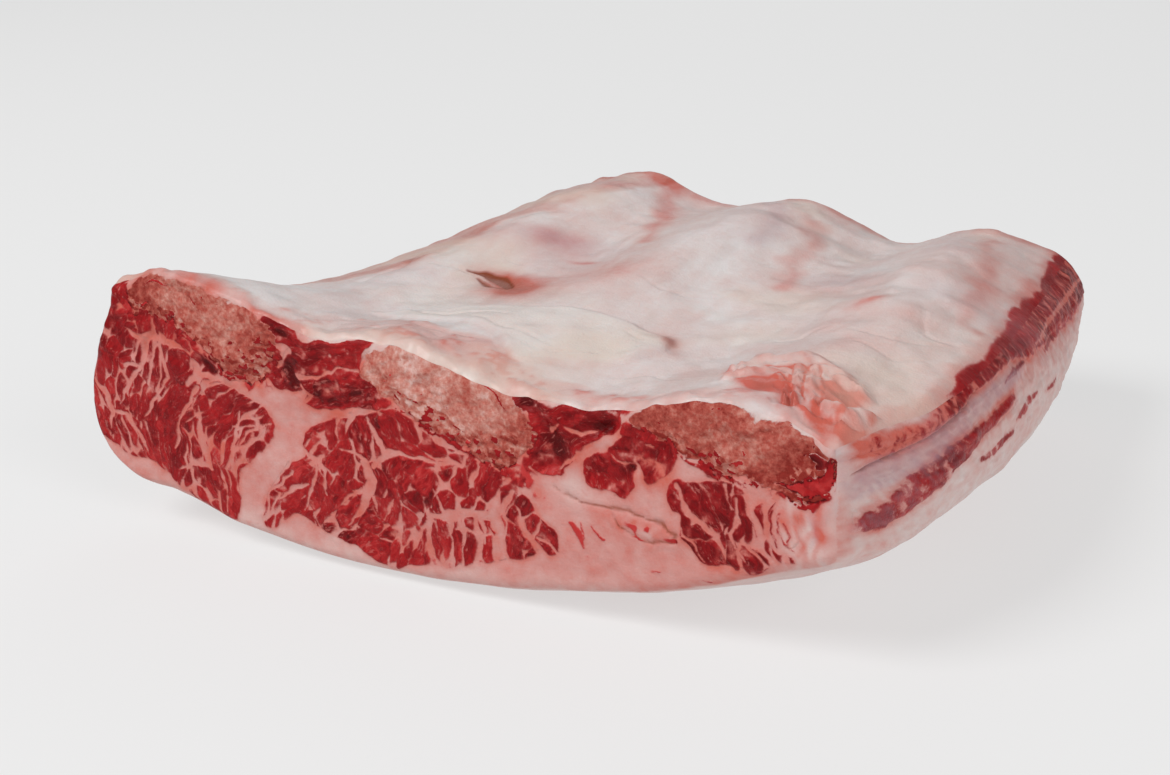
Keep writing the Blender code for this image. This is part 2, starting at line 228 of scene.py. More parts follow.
# ---- the slab's grid ----------------------------------------------------------------------------------
def along(sizes, share):
    """A size that is given at PLACES, at these shares of the depth."""
    at, sizes = np.array(PLACES), np.array(sizes)
    slopes = np.gradient(sizes, at)
    share = np.asarray(share, float)
    i = np.clip(np.searchsorted(at, share, "right") - 1, 0, len(at) - 2)
    span = at[i + 1] - at[i]
    u = (share - at[i]) / span
    return (
        (1 + 2 * u) * (1 - u) ** 2 * sizes[i] + u * (1 - u) ** 2 * span * slopes[i]
        + u * u * (3 - 2 * u) * sizes[i + 1] + u * u * (u - 1) * span * slopes[i + 1]
    )


def left_x(t, share):
    low, high = along(LEFT_LOW, share), along(LEFT_TOP, share)
    return low + (high - low) * t + along(LEFT_SWELL, share) * 6.75 * t * (1.0 - t) ** 2


def right_x(t, share):
    low, high = along(RIGHT_LOW, share), along(RIGHT_TOP, share)
    return low + (high - low) * t + along(RIGHT_SWELL, share) * 4.0 * t * (1.0 - t)


def top_height(s, share):
    left, middle, right = (along(sizes, share) for sizes in (TOP_LEFT, TOP_MIDDLE, TOP_RIGHT))
    height = left * (1.0 - s) * (1.0 - 2.0 * s) + middle * 4.0 * s * (1.0 - s) + right * s * (2.0 * s - 1.0)
    for rises, front, back in RIDGES:
        place, width = (a + (b - a) * share for a, b in zip(front, back))
        height = height + along(rises, share) * np.exp(-(((s - place) / width) ** 2))
    return height


def belly_height(x, share):
    height = np.maximum(along(BELLY_LIFT, share), 0.0)
    height = height + np.maximum(along(BELLY_LEFT, share) - x, 0.0) ** 2 / along(CURL_LEFT, share)
    height = height + np.maximum(x - along(BELLY_RIGHT, share), 0.0) ** 2 / along(CURL_RIGHT, share)
    depth, middle, width, reach = FOOT
    return height + depth * np.exp(-(((x - middle) / width) ** 2) - (share / reach) ** 2)


def heights(s, share):
    """Underside and top at a place of the plan."""
    low = belly_height(left_x(0.0, share) * (1.0 - s) + right_x(0.0, share) * s, share)
    return low, top_height(s, share)


def drifted(s, share):
    """Where a place across the slab ends up, as the middle drifts left towards the back."""
    return s + DRIFT * share * 4.0 * s * (1.0 - s)


def slab(s, t, share, sink, out_side, out_top, out_cut):
    """Millimetres for places in the slab, with its edges rounded. sink is for what lies under the
    membrane. The last three push a place out through the side, the top or underside, and the cut."""
    s, t, share = np.broadcast_arrays(*(np.asarray(c, float) for c in (s, t, share)))
    s = drifted(s, share)
    low, high = heights(s, share)
    t = t * (1.0 - sink / (high - low))
    spans = (right_x(t, share) - left_x(t, share), high - low, np.full(s.shape, DEPTH))
    middle = smooth(0.01, 0.06, share) * (1.0 - smooth(0.94, 0.99, share))
    radius = EDGE_ROUND + (LONG_ROUND - EDGE_ROUND) * middle
    radii = (radius, radius, EDGE_ROUND)
    places, gaps, near = (s, t, share), [], []
    for place, span, out, r in zip(places, spans, (out_side, out_top, out_cut), radii):
        gap = np.minimum(place, 1.0 - place) * span
        gap = gap - np.where(gap < r, out, 0.0)
        gaps.append(gap)
        near.append(np.maximum(1.0 - gap / r, 0.0))
    length = np.sqrt(sum(e * e for e in near))
    pull = np.where(length > 1e-9, np.maximum.reduce(near) / np.maximum(length, 1e-9), 1.0)
    moved = []
    for place, span, gap, e, r in zip(places, spans, gaps, near, radii):
        gap = np.where(e > 0.0, r * (1.0 - e * pull), gap) / span
        moved.append(np.where(place < 0.5, gap, 1.0 - gap))
    s, t, share = moved
    low, high = heights(s, share)
    x = left_x(t, share) * (1.0 - s) + right_x(t, share) * s
    return uneven(x, share * DEPTH, low + (high - low) * t)


def uneven(x, y, z):
    """Places moved by the soft unevenness that the whole slab has, less towards its foot."""
    up = smooth(2.0, 14.0, z)
    dx = 0.9 * noise(y, z, 19.0, 901) + 0.35 * noise(y, z, 6.5, 902)
    dy = 0.7 * noise(x, z, 15.0, 903) + 0.25 * noise(x, z, 6.0, 904)
    dz = 0.9 * noise(x, y, 17.0, 905) + 0.30 * noise(x, y, 6.0, 906)
    near = smooth(9.0, 0.0, y) * smooth(48.0, 60.0, z)  # the rim over the front cut is more uneven
    dy = dy + near * (0.8 * noise(x, z, 5.2, 907) + 0.35 * noise(x, z, 2.3, 908))
    dz = dz + near * (0.7 * noise(x, y, 6.0, 909) + 0.3 * noise(x, y, 2.6, 910))
    edge = smooth(0.0, 25.0, np.abs(x + SIDE_SHIFT)) * 0.8 + 0.2
    dip = spots(x, y, [BACK_VALLEY]) * smooth(20.0, 60.0, z)
    return np.stack([x + dx * up, y + dy * up, z + (dz - 0.2) * up * edge + dip], axis=-1)


def front_place(x, z):
    """The (s, t) under the membrane of points of the front cut that are given in millimetres. Each is worked
    out from the other, in turns, until they settle."""
    t = np.full(x.shape, 0.5)
    for _ in range(25):
        left, right = left_x(t, 0.0), right_x(t, 0.0)
        s = (x - left) / (right - left)
        low, high = heights(s, 0.0)
        t = (z - low) / (high - MEMBRANE - low)
    return s, t


def front_point(s, t):
    """Millimetres on the front cut, without the rounding."""
    low, high = heights(s, 0.0)
    x = left_x(t, 0.0) * (1.0 - s) + right_x(t, 0.0) * s
    return np.stack([x, low + (high - MEMBRANE - low) * t], axis=-1)


# ---- what the cuts show ---------------------------------------------------------------------------------
def oval(middle, half_width, half_height, tilt, square=2.5, points=48):
    """A rib's section: a flattened oval with blunt ends, tilted by tilt degrees."""
    turn, angles = math.radians(tilt), 2.0 * math.pi * (np.arange(points) + 0.5) / points
    c, s = np.cos(angles), np.sin(angles)
    u = half_width * np.sign(c) * np.abs(c) ** (2.0 / square)
    w = half_height * np.sign(s) * np.abs(s) ** (2.0 / square)
    return np.column_stack([
        middle[0] + u * math.cos(turn) - w * math.sin(turn),
        middle[1] + u * math.sin(turn) + w * math.cos(turn),
    ])


BONES = {
    "rib_bone_1": oval((-145.0, 67.8), 27.0, 9.3, -18.0),
    "rib_bone_2": oval((-63.0, 57.5), 27.5, 9.6, -20.0),
    "rib_bone_3": oval((21.5, 58.6), 25.5, 7.6, -12.0),
}
MUSCLES = {
    "muscle_left": [
        (-195.5, 34), (-187, 29), (-168, 22), (-150, 15), (-138.5, 11.5), (-135.5, 24), (-127, 35),
        (-121.5, 43), (-128, 48), (-141, 53), (-157, 58.5), (-172, 65), (-185, 70), (-194, 71), (-196, 52),
    ],
    "muscle_middle": [
        (-124, 10), (-112, 13), (-100, 10), (-84, 6.5), (-66, 9.5), (-50, 13), (-38, 18.5), (-29, 22.5),
        (-31, 30), (-41, 35.5), (-52, 38.5), (-67, 42.5), (-82, 46.5), (-101, 47), (-109, 39), (-118, 28),
        (-125, 18),
    ],
    "muscle_right": [
        (12, 31), (18, 28.5), (26, 28), (31.5, 31), (29, 38), (25.5, 46), (17, 47.5), (8.5, 47), (7, 42),
        (9.5, 36.5),
    ],
    "muscle_strip": [(35.5, 47), (36, 42), (38, 36.5), (41, 38), (41.5, 42), (40.5, 47)],
    "intercostal_1": [
        (-114.5, 55), (-104, 50.5), (-93, 50.5), (-94, 57), (-96, 62), (-97, 67), (-105, 68.5),
        (-111.5, 68), (-115.5, 62),
    ],
    "intercostal_2": [
        (-30.5, 44), (-20, 41), (-9, 42), (-5, 48.5), (-10.5, 55), (-11.5, 61.5), (-20, 60.5), (-31, 58),
        (-33, 50),
    ],
}
# Edges of the lean as they show on the front cut. They stray a little from the muscles' own outlines.
LEAN = [
    [(-200, 60), (-198, 34), (-187.7, 28), (-179.5, 25), (-167.7, 21.5), (-160.5, 18), (-155, 14.5),
     (-149, 10.8), (-142, 11), (-137, 10.8), (-134.8, 18), (-134.5, 24), (-132.3, 27.5), (-128, 31),
     (-121, 36.5), (-118.4, 40.5), (-121, 44.5), (-124, 48), (-130, 51), (-137, 54), (-137, 58),
     (-143, 62), (-150, 66), (-158, 69), (-165, 70.5), (-170, 73), (-171, 79), (-174, 86), (-200, 88)],
    [(-126.4, 12), (-125.4, 8.6), (-121, 9.4), (-116, 14.2), (-110.5, 14), (-104, 12.5), (-98.6, 10),
     (-92.3, 8.6), (-87.7, 5.8), (-81, 4.9), (-74, 7), (-67, 9), (-61, 9.5), (-54, 12.3), (-48.5, 14),
     (-47, 19), (-49, 27), (-46, 33), (-41, 36), (-39.5, 40), (-47, 42), (-55, 45), (-64, 47), (-71, 51),
     (-78, 54), (-85, 52), (-93, 49), (-101, 47.7), (-105.5, 45), (-109.5, 40), (-110, 35), (-115.5, 30),
     (-121, 24.5), (-125, 19)],
    [(-44.5, 31), (-45, 26), (-44, 17.8), (-41.8, 16), (-37, 16.6), (-35.4, 18.6), (-38.4, 24),
     (-40, 27.5), (-36.5, 29.6), (-35, 31.8), (-38.6, 35.5), (-43, 38)],
    [(-37.5, 27.5), (-35, 30), (-30.5, 29.6), (-28.3, 27.5), (-28, 23), (-30.5, 19), (-33.6, 19.8),
     (-36.3, 23)],
    [(7.3, 50.5), (5.9, 46), (6.2, 41.5), (9.4, 40), (10, 33), (13.6, 28.4), (18.6, 27.2), (22.7, 27.8),
     (24, 26.2), (27, 25.4), (31, 27.3), (32.3, 31.4), (31, 36), (28.8, 41.4), (27.3, 46), (25, 49.5),
     (19.5, 52), (14, 50)],
    [(30.3, 46.2), (34.2, 48), (34.6, 44), (33.2, 39), (35.5, 35.2), (39.4, 32.2), (37.4, 31.6),
     (33.8, 33.6), (32, 37), (31.6, 41.4)],
]
BETWEEN = [  # the same for the lean between the ribs
    [(-121, 57), (-116, 54.5), (-111, 55.5), (-107.5, 57), (-109, 52), (-105, 50.4), (-97, 51), (-90, 53),
     (-83, 53), (-79, 56), (-85, 60.5), (-89, 65), (-88, 70), (-85, 73.6), (-92, 74), (-100, 72),
     (-108, 71), (-115, 74.6), (-122, 74), (-118, 67)],
    [(-46, 67.4), (-38, 65.6), (-31, 63.4), (-23, 64.6), (-16.8, 67.4), (-10.6, 67.4), (-8.4, 63),
     (-9.6, 59.4), (-15, 57), (-20, 52.3), (-23.6, 47.7), (-27, 43.2), (-34, 43.4), (-36, 50),
     (-34, 55), (-37, 60)],
    [(-13, 53), (-9, 57.6), (-6.6, 64), (0.5, 63.2), (6.5, 58.8), (6.6, 54), (2.6, 48.8), (-1.4, 49.2),
     (-4, 52), (-8, 51.5)],
    [(-18.6, 44), (-19, 50), (-13.6, 52.4), (-5.6, 49.4), (-6.6, 41.6), (-12.6, 41.8)],
]
VEINS = [  # fat in the lean: x, z and width along each vein
    [(-172, 65, 0.4), (-166, 62, 2.2), (-160, 62.2, 3.2), (-153, 61.8, 2.4), (-147, 60.8, 0.8)],
    [(-160, 61, 2.6), (-158.4, 55, 2.2), (-157, 50, 1.4), (-159.5, 46.5, 0.9), (-163.5, 41.5, 1.6),
     (-168, 36, 0.5)],
    [(-164.5, 61, 2.4), (-166, 55.5, 2.0), (-169.5, 51.5, 1.5), (-173, 46.5, 1.2), (-176.8, 40, 0.3)],
    [(-173.5, 53, 1.4), (-168.5, 53.5, 0.8)],
    [(-186, 46, 0.3), (-182.6, 42, 1.7), (-180, 37, 2.0), (-181.8, 31.5, 0.5)],
    [(-180, 37, 1.2), (-175, 36.5, 1.6), (-172.2, 31.5, 1.6), (-168.5, 24.5, 0.3)],
    [(-146.8, 58.8, 1.2), (-145.4, 53.4, 2.8), (-149.5, 50.3, 1.6)],
    [(-146, 53.6, 2.2), (-139, 55.6, 1.6), (-133, 54, 1.3), (-127, 51.8, 1.6)],
    [(-146.4, 49.8, 1.5), (-148.8, 44, 1.2), (-152.6, 40, 1.3), (-155.4, 35.5, 1.0), (-158.5, 28, 0.3)],
    [(-146.2, 43, 0.4), (-146.8, 36, 1.9), (-146.6, 31, 2.5), (-145.4, 25.5, 2.0)],
    [(-145.4, 26, 2.0), (-151.4, 25, 1.9), (-157.2, 21.6, 0.4)],
    [(-131.2, 45.5, 0.3), (-133, 38.6, 1.7), (-135, 33, 1.4), (-136.5, 26.5, 0.3)],
    [(-120.5, 41.4, 0.8), (-127.6, 39.5, 1.2), (-132, 35.4, 0.6)],
    [(-142.2, 28.5, 0.4), (-140.4, 20, 0.8), (-139, 13, 0.3)],
    [(-119.6, 19.2, 0.5), (-115.4, 22.8, 1.9), (-108.5, 26, 0.3)],
    [(-110, 37.5, 1.2), (-105, 35, 1.7), (-105.5, 29, 0.9), (-108.6, 23, 0.9), (-111.4, 17.5, 0.3)],
    [(-105, 35, 1.5), (-102, 32, 1.0), (-102.8, 25.5, 0.3)],
    [(-88.8, 36, 3.4), (-86.8, 31.4, 4.0), (-89.5, 25, 2.7), (-93.2, 18.8, 1.1), (-96.4, 15, 0.3)],
    [(-88, 36, 2.0), (-91.5, 39, 1.2), (-97.5, 39.8, 0.3)],
    [(-87, 30, 1.2), (-91.8, 27.7, 1.2), (-99.6, 21.4, 0.3)],
    [(-85.5, 36.4, 2.0), (-81.6, 40, 2.5), (-76.5, 41, 1.6), (-69.5, 41.2, 1.2), (-64, 40.4, 1.5),
     (-57, 40.5, 1.3), (-55.4, 45, 1.0)],
    [(-81.6, 40, 2.3), (-83.4, 44.4, 1.8), (-86.8, 50, 0.6)],
    [(-94.4, 44, 0.6), (-92.4, 49.4, 3.2)],
    [(-70, 50.4, 1.0), (-63, 46.6, 3.0), (-56, 45.2, 1.2)],
    [(-68.8, 22.8, 0.5), (-62, 25.6, 3.1), (-56, 27.2, 2.9), (-49, 27.4, 3.4), (-44.5, 31.5, 2.4),
     (-41, 35.8, 1.2)],
    [(-67, 23.8, 1.6), (-69.2, 16.5, 0.4)],
    [(-61.5, 25, 2.2), (-62.8, 18, 0.4)],
    [(-57.4, 26, 1.6), (-58.8, 17, 0.4)],
    [(-52, 26.5, 1.7), (-51.2, 19.5, 0.4)],
    [(-58, 27, 1.9), (-58.8, 32.4, 0.4)],
    [(-63.4, 26, 1.6), (-66.4, 32.4, 0.4)],
    [(-48.4, 28, 3.2), (-46.6, 22, 3.6), (-46.4, 15, 4.0)],
    [(-41, 32, 0.3), (-39.2, 29, 1.0), (-38, 24.5, 2.4), (-34.4, 18.6, 2.6)],
    [(-34.2, 23.4, 0.5), (-30.4, 22.0, 0.8), (-28.2, 19.6, 1.2)],
    [(8.2, 48, 1.2), (11, 41.6, 1.7), (15, 38.4, 1.9), (20, 36.2, 0.4)],
    [(24.2, 47.8, 0.8), (25, 41.4, 1.3), (23.4, 36.8, 1.2), (26.2, 30.5, 0.4)],
    [(20.4, 51, 0.8), (23, 44.5, 0.4)],
    [(-109.6, 60, 1.7), (-104, 60.6, 1.0), (-97, 63.2, 0.8), (-89.5, 63.8, 0.7)],
    [(-119, 67.6, 1.2), (-113.5, 65.4, 3.0), (-117, 60.4, 1.0)],
    [(-109.2, 57.4, 1.4), (-106.6, 54, 1.0), (-108.8, 49.6, 1.0)],
    [(-27, 45, 0.8), (-21, 50.4, 1.9), (-13.6, 55, 1.9), (-8.6, 59, 1.2)],
    [(-25, 58, 0.4), (-21, 57, 1.4), (-16.4, 58.6, 0.8)],
    [(-30, 56, 1.3), (-27, 58.4, 0.8)],
]
STREAKS = [  # lean in the fat
    [(-23.6, 31, 1.3), (-21.6, 28.6, 1.6), (-19.8, 25.4, 0.5)],
    [(-21, 31.4, 0.5), (-20, 27.6, 0.5)],
    [(-17, 31.6, 0.6), (-13.4, 28.6, 0.9)],
    [(0.4, 22.9, 0.4), (2.6, 22.6, 0.5)],
    [(13.8, 21.5, 0.4), (15.8, 21.2, 0.5)],
    [(35.2, 46.6, 0.8), (34.8, 41.5, 0.7), (36.2, 36.6, 0.4)],
    [(37.2, 46, 0.4), (36.8, 41, 0.5), (38.4, 36.4, 0.5), (39.8, 35.2, 0.3)],
    [(-71, 52.4, 0.5), (-65, 49.4, 1.0), (-58.6, 46.6, 0.9), (-51.4, 44.4, 0.5)],
    [(8.4, 56.4, 0.6), (11.6, 54.8, 1.2), (16.4, 52.4, 0.6)],
    [(17.6, 55, 0.4), (22, 52.4, 0.8), (26.4, 50.2, 0.4)],
    [(38.2, 43, 0.3), (39.6, 40, 0.6), (38.8, 37, 0.4)],
]
# Bundles of the lean: middle, direction of the grain in degrees, and the grains' length and width
BUNDLES = [
    (-184, 52, 80, 8, 3.6), (-178, 62, 60, 6, 4.0), (-185, 36, 110, 12, 5.0), (-176, 45, 78, 9, 4.2),
    (-176, 30, 105, 10, 3.0), (-168, 42, 66, 9, 3.2), (-166, 28, 96, 12, 2.6), (-162, 54, 82, 10, 3.6),
    (-153, 54, 62, 10, 4.6), (-153, 43, 42, 12, 3.2), (-157, 30, 76, 11, 3.0), (-149, 32, 84, 8, 3.6),
    (-148, 17, 100, 9, 4.2), (-139, 46, 40, 14, 3.4), (-139, 33, 62, 12, 3.0), (-140, 20, 100, 9, 2.8),
    (-128, 44, 28, 11, 3.4), (-128, 36, 44, 9, 3.4), (-178, 74, 70, 6, 4.0), (-122, 14, 60, 8, 3.2),
    (-115, 27, 38, 13, 3.6), (-115, 17, 48, 12, 4.2), (-106, 41, 44, 8, 2.8), (-98, 43, 70, 8, 5.0),
    (-98, 32, 66, 9, 5.4), (-104, 24, 70, 10, 5.0), (-97, 20, 40, 10, 6.0), (-88, 43, 105, 10, 7.0),
    (-87, 15, 30, 9, 7.0), (-79, 31, 80, 8, 5.6), (-79, 23, 85, 9, 5.0), (-77, 12, 70, 7, 3.6),
    (-74, 46, 130, 8, 4.6), (-72, 34, 40, 8, 6.0), (-64, 43, 160, 8, 5.0), (-60, 34, 70, 9, 6.0),
    (-50, 37, 60, 11, 4.6), (-66, 16, 92, 11, 3.4), (-55, 17, 88, 9, 4.0), (-42, 26, 80, 9, 6.0),
    (-33, 25, 60, 9, 6.0), (10, 44, 115, 8, 4.0), (17, 44, 118, 9, 4.6), (16, 33, 122, 10, 5.0),
    (26, 40, 100, 9, 4.0), (27, 30, 105, 8, 4.6), (34, 40, 90, 9, 3.0), (-113, 57, 20, 7, 5.0),
    (-97, 56, 10, 10, 6.0), (-104, 69, 5, 12, 4.0), (-24, 60, 15, 8, 5.0), (-27, 50, 60, 8, 5.0),
    (0, 56, 80, 8, 5.0), (-12, 46, 120, 6, 4.0),
]
BONE_FACES = [  # edges of the bones as they show, which are more ragged than the bones
    [(-172, 74), (-169, 79.5), (-160, 82), (-150, 82), (-140, 80.8), (-130, 79), (-124.5, 75), (-120, 70),
     (-117.8, 64), (-120.5, 57.5), (-126, 54.2), (-132, 56.5), (-138, 61), (-145, 65), (-152, 67.6),
     (-160, 69.4), (-168, 70.5)],
    [(-88, 68), (-80, 73), (-70, 72.5), (-60, 70.6), (-50, 69), (-44.5, 66), (-39, 61), (-35.5, 56),
     (-35, 51), (-38, 46), (-43, 43), (-49, 43.4), (-56, 46.8), (-63, 49.4), (-71, 52.4), (-79, 56.4),
     (-85, 60.4), (-88.6, 64)],
    [(-6.5, 65), (0, 70), (8, 73), (18, 73.4), (28, 71), (38, 68.6), (46, 66), (49, 61), (48, 54.5),
     (43, 51.2), (37, 51), (30, 52), (20, 54), (12, 56.4), (6, 58.4), (0, 61.6)],
]
SHADED_HOLLOWS = [  # hollows, sunk and painted dark red as shade, as spots() takes them
    (1, (-113, 58.5), (4.5, 3.0), -30), (1, (-27.5, 51), (3.0, 4.0), 20), (1, (-36.5, 63), (3.6, 2.4)),
    (1, (-15, 59.5), (3.0, 1.8)), (1, (-6, 50.5), (2.6, 1.6), 30), (1, (43.4, 61.0), (5.4, 3.0), 25),
    (1, (-116, 71), (3.5, 1.6), -20), (1, (-141.5, 58.2), (4.0, 2.6), -35),
]
CRACKS = [  # dark cracks in the bones
    [(-172, 69.4, .4), (-166.5, 71.2, 1.0), (-163.5, 73.2, .9), (-159.6, 73.8, .3)],
    [(-163, 78.4, .3), (-160, 79.4, 1.0), (-155, 80.2, .4)],
    [(-147, 78.8, .3), (-144.6, 76.6, .9), (-144, 74.6, .3)],
    [(-52, 67.4, .3), (-46, 64.6, .7), (-41, 60.4, .3)], [(2, 66.5, .3), (9, 65.4, .8), (14, 63.8, .3)],
]
BLOODY_END = [(34, 53.2, 1.0), (39, 53.0, 3.2), (44, 54.4, 4.6), (48, 58.5, 4.6), (48.6, 63, 1.6)]
BLOODY_SPOTS = [  # under the first rib and about the ends of the others
    (1, (-152, 65), (20, 3.6), -12), (1, (-175, 76), (6, 8)), (1, (42, 54), (9, 4.0), -14),
    (1, (48.5, 59.5), (3.0, 5.0)), (1, (-40, 47), (9, 6), -40), (1, (-122, 60), (4, 9)),
    (0.7, (-45, 44), (14, 3), -25),
]
CRUMBLY = [  # where the saw left crumbs
    (1, (-126.5, 62), (9.0, 8.0), -35), (1, (-150, 67), (15.0, 2.6), -16), (1, (-172, 75), (4.0, 5.5)),
    (1, (-44, 49), (8.0, 5.0), -38), (1, (-66, 54), (16.0, 2.2), -24), (1, (43, 56), (6.5, 4.4), -20),
    (1, (10, 59), (14.0, 2.0), -10),
]
MARROW_SPOTS = [  # where the bones are redder, and paler
    (0.45, (43, 56), (8, 6), -30), (-0.22, (-141, 74), (13, 5), -14), (-0.12, (-72, 64), (10, 6), -20),
    (-0.14, (19, 63.5), (17, 4.5), -10),
]
LUMP_LINES = [  # dark edges of the small lump in the fat of the front cut
    [(-28, 39.2, .3), (-15, 38, .7), (-4, 37.8, .6), (4, 37, .8), (8.4, 35, .8), (7, 31.6, .8), (1, 30, .5),
     (-4, 31, .2)],
    [(-12, 37, .3), (-9, 33.4, .5), (-4, 31, .3)],
]
RIGHT_WISPS = [  # pink lines in the fat at the right end of the front cut
    [(37.6, 44, .4), (39.8, 40, 1.0), (38.6, 36.0, .5)],
    [(40.6, 42.5, .3), (42.4, 38.0, .9), (40.4, 34.0, .4)],
]
BUNDLE_LONG = 1.35  # how much farther a bundle reaches along its grain than across it
COARSE = (1.15, 1.12)  # the grains' length and width, as shares of the bundle's numbers
FINE = (0.42, 0.40)  # and of the finer grains in them
NOWHERE = -9.0  # a depth that shows nothing of a tissue


def rim_blush(x):
    """How pink the rim between the front cut and the membrane is."""
    blush = 0.38 + 0.20 * wave(x, 9.0, 861) + 0.16 * wave(x, 3.2, 862)
    blush = blush + 0.34 * smooth(-104.0, -122.0, x) + 0.14 * smooth(-156.0, -168.0, x)
    return blush + 0.24 * spot(x, 0.0 * x, (-30, 0), (14, 1)) + 0.30 * smooth(36.0, 45.0, x)


def corner_blush(z):
    """How pink the right corner of the cut is, at each height."""
    return 0.66 - 0.20 * smooth(44.0, 56.0, z) + 0.16 * wave(z, 8.0, 863) + 0.10 * wave(z, 3.0, 864)


def corner_chill(z):
    """How blue the same corner is."""
    return 0.55 * smooth(44.0, 56.0, z) * (1.0 + 0.5 * wave(z, 3.0, 865))


def bundle_grain(x, y, seen, seed):
    """The grain of the bundles where the lean is seen: how far a grain's edge is, its own number, the place
    along and across it, the edge and number of the finer grains in it, and how far the bundle's edge is."""
    best, second = np.full(x.shape, 1e9), np.full(x.shape, 1e9)
    which = np.zeros(x.shape, int)
    for k, (bx, by, angle, _, _) in enumerate(BUNDLES):
        c, s = math.cos(math.radians(angle)), math.sin(math.radians(angle))
        far = np.hypot(((x - bx) * c + (y - by) * s) / BUNDLE_LONG, (y - by) * c - (x - bx) * s)
        closer = far < best
        second = np.where(closer, best, np.minimum(second, far))
        best, which = np.where(closer, far, best), np.where(closer, k, which)
    edge, own, along_it, across, inner, tone = (np.zeros(x.shape) for _ in range(6))
    for k, (_, _, angle, long, wide) in enumerate(BUNDLES):
        at = (which == k) & seen
        if at.any():
            edge[at], own[at], along_it[at], across[at] = cells(
                x[at], y[at], angle, long * COARSE[0], wide * COARSE[1], 100 * k + seed)
            inner[at], tone[at], _, _ = cells(
                x[at], y[at], angle + 8, long * FINE[0], wide * FINE[1], 100 * k + 50 + seed)
    return edge, own, along_it, across, inner, tone, (second - best) / 2


def marbling(x, y, wx, wy, grain_edge, bundle_edge, seed):
    """How deep each place lies in the fat of the lean, and in its veins alone."""
    patchy = noise(x, y, 8.0, 21 + seed) + 0.5 * noise(x, y, 2.6, 22 + seed)
    open_grain = smooth(-0.9, 0.5, patchy + 0.5 * noise(x, y, 17.0, 23 + seed))
    most = 0.22 * smooth(-112.0, -98.0, x) * smooth(-30.0, -46.0, x)  # the middle muscle has the most
    between_grains = most - 0.36 + 0.60 * open_grain + 0.30 * patchy - grain_edge
    between_bundles = -0.12 + 0.40 * patchy - bundle_edge
    flecks = 0.55 * (noise(x, y, 1.9, 24 + seed) + 0.5 * patchy - 0.95)
    if seed == 0:
        vx = x + 0.5 * noise(x, y, 2.6, 31) + 0.8 * noise(x, y, 6.0, 33)
        vy = y + 0.5 * noise(x, y, 2.6, 32) + 0.8 * noise(x, y, 6.0, 34)
        veins = strokes(vx, vy, VEINS) + 0.25 * noise(x, y, 1.3, 35) + 0.15 * noise(x, y, 4.0, 36)
    else:
        veins = 0.6 + 1.0 * noise(x, y, 12.0, 41 + seed) - cells(wx, wy, 65.0, 26.0, 11.0, 500 + seed)[0]
    return np.maximum.reduce([between_grains, between_bundles, flecks, veins]), veins


def sawn_bone(x, y, wx, wy, top_gap, seed):
    """What the saw left of the bones: the bone itself with its pale and red bits, holes and cracks, the
    bloody places about it, and the hollows, which are painted dark as shade."""
    crumb = 0.55 * noise(x, y, 2.4, 42 + seed) + 0.40 * noise(x, y, 1.0, 43 + seed)
    bone = deepest(wx, wy, BONE_FACES) + 1.5 * crumb + 0.8 * noise(x, y, 4.5, 44 + seed)
    ring = smooth(-3.2, -0.4, bone) * (1.0 - smooth(0.6, 2.6, bone)) * smooth(4.0, 9.0, top_gap)
    hole = (bone > 0.0) & (noise(x, y, 2.3, 45 + seed) + 0.4 * noise(x, y, 1.0, 46 + seed) > 0.98)
    bloody = spots(x, y, BLOODY_SPOTS) + 0.62 * ring * smooth(-0.5, 0.3, noise(x, y, 6.0, 47 + seed))
    # deep: how far in the hollows a place lies, where dark lean is painted as shade
    deep = spots(x, y, SHADED_HOLLOWS) if seed == 0 else 0.0 * x
    crumbly = spots(x, y, CRUMBLY) + 0.55 * ring + 0.40 * noise(x, y, 4.0, 49 + seed)
    bit_edge, bit, _, _ = cells(x + 0.5 * noise(x, y, 1.3, 48 + seed), y, -20.0, 1.7, 1.15, 900 + seed)
    bits = (crumbly > 0.48) & (bone > -2.8) & (bone < 8.0)
    end = strokes(wx, wy, [BLOODY_END])
    bone = np.minimum(bone - 5.0 * smooth(0.40, 0.70, deep), 0.3 - 0.9 * end + 0.8 * crumb)
    pale, red = bits & (bit < np.where(end > 0.3, 0.14, 0.40)), bits & (bit > 0.62)
    crack = np.clip(strokes(wx, wy, CRACKS) / 0.4 + 0.6, 0.0, 1.0) * smooth(0.0, 3.0, bone) * (seed == 0)
    bone -= 4.0 * crack
    bone = np.where(pale & (bit_edge > 0.05), np.maximum(bone, 0.8),
                    np.where((red & (bit > 0.80)) | hole, -1.0, bone))
    return SimpleNamespace(
        bone=bone, crumb=crumb, hole=hole, bloody=np.minimum(bloody, 1.0), deep=deep, end=end, crack=crack,
        bits=bits, bit=bit, bit_edge=bit_edge, pale=pale, red=red,
    )


def lean_about_bone(lean, saw):
    """The lean with the blood and torn flesh that lie on and about the bones, and dark lean painted into
    the hollows as shade.
    """
    lean = np.where(saw.bone > 0.0, -1.5, np.maximum(lean, 2.2 * (saw.deep - 0.55)))
    smeared = np.where(saw.bone < 1.5, saw.bloody * 1.5 + 1.2 * saw.crumb - 1.1, NOWHERE)
    at_end = np.where(saw.bone > 0.0, NOWHERE, saw.end + 0.4 + 1.3 * saw.crumb)
    lean = np.maximum.reduce([lean, smeared, at_end])
    return np.where(saw.pale & (saw.bone > 0.0), -1.5, np.where(saw.red & (saw.bone < 0.0), 0.8, lean))


def marrow_red(x, y, saw, seed):
    """How red the sawn bones are."""
    red = 0.56 + 0.08 * smooth(-112, -122, x) + 0.25 * smooth(-156, -172, x)
    red += 0.12 * smooth(-10, 10, x) - 0.26 * smooth(-110, -85, x) * smooth(-28, -50, x)
    red += spots(x, y, MARROW_SPOTS) + 0.3 * saw.bloody
    red += 0.40 * saw.red + 0.24 * rough(x, y, 8.0, 85 + seed)
    return np.where(saw.pale, 0.42 + 0.55 * saw.bit, red)


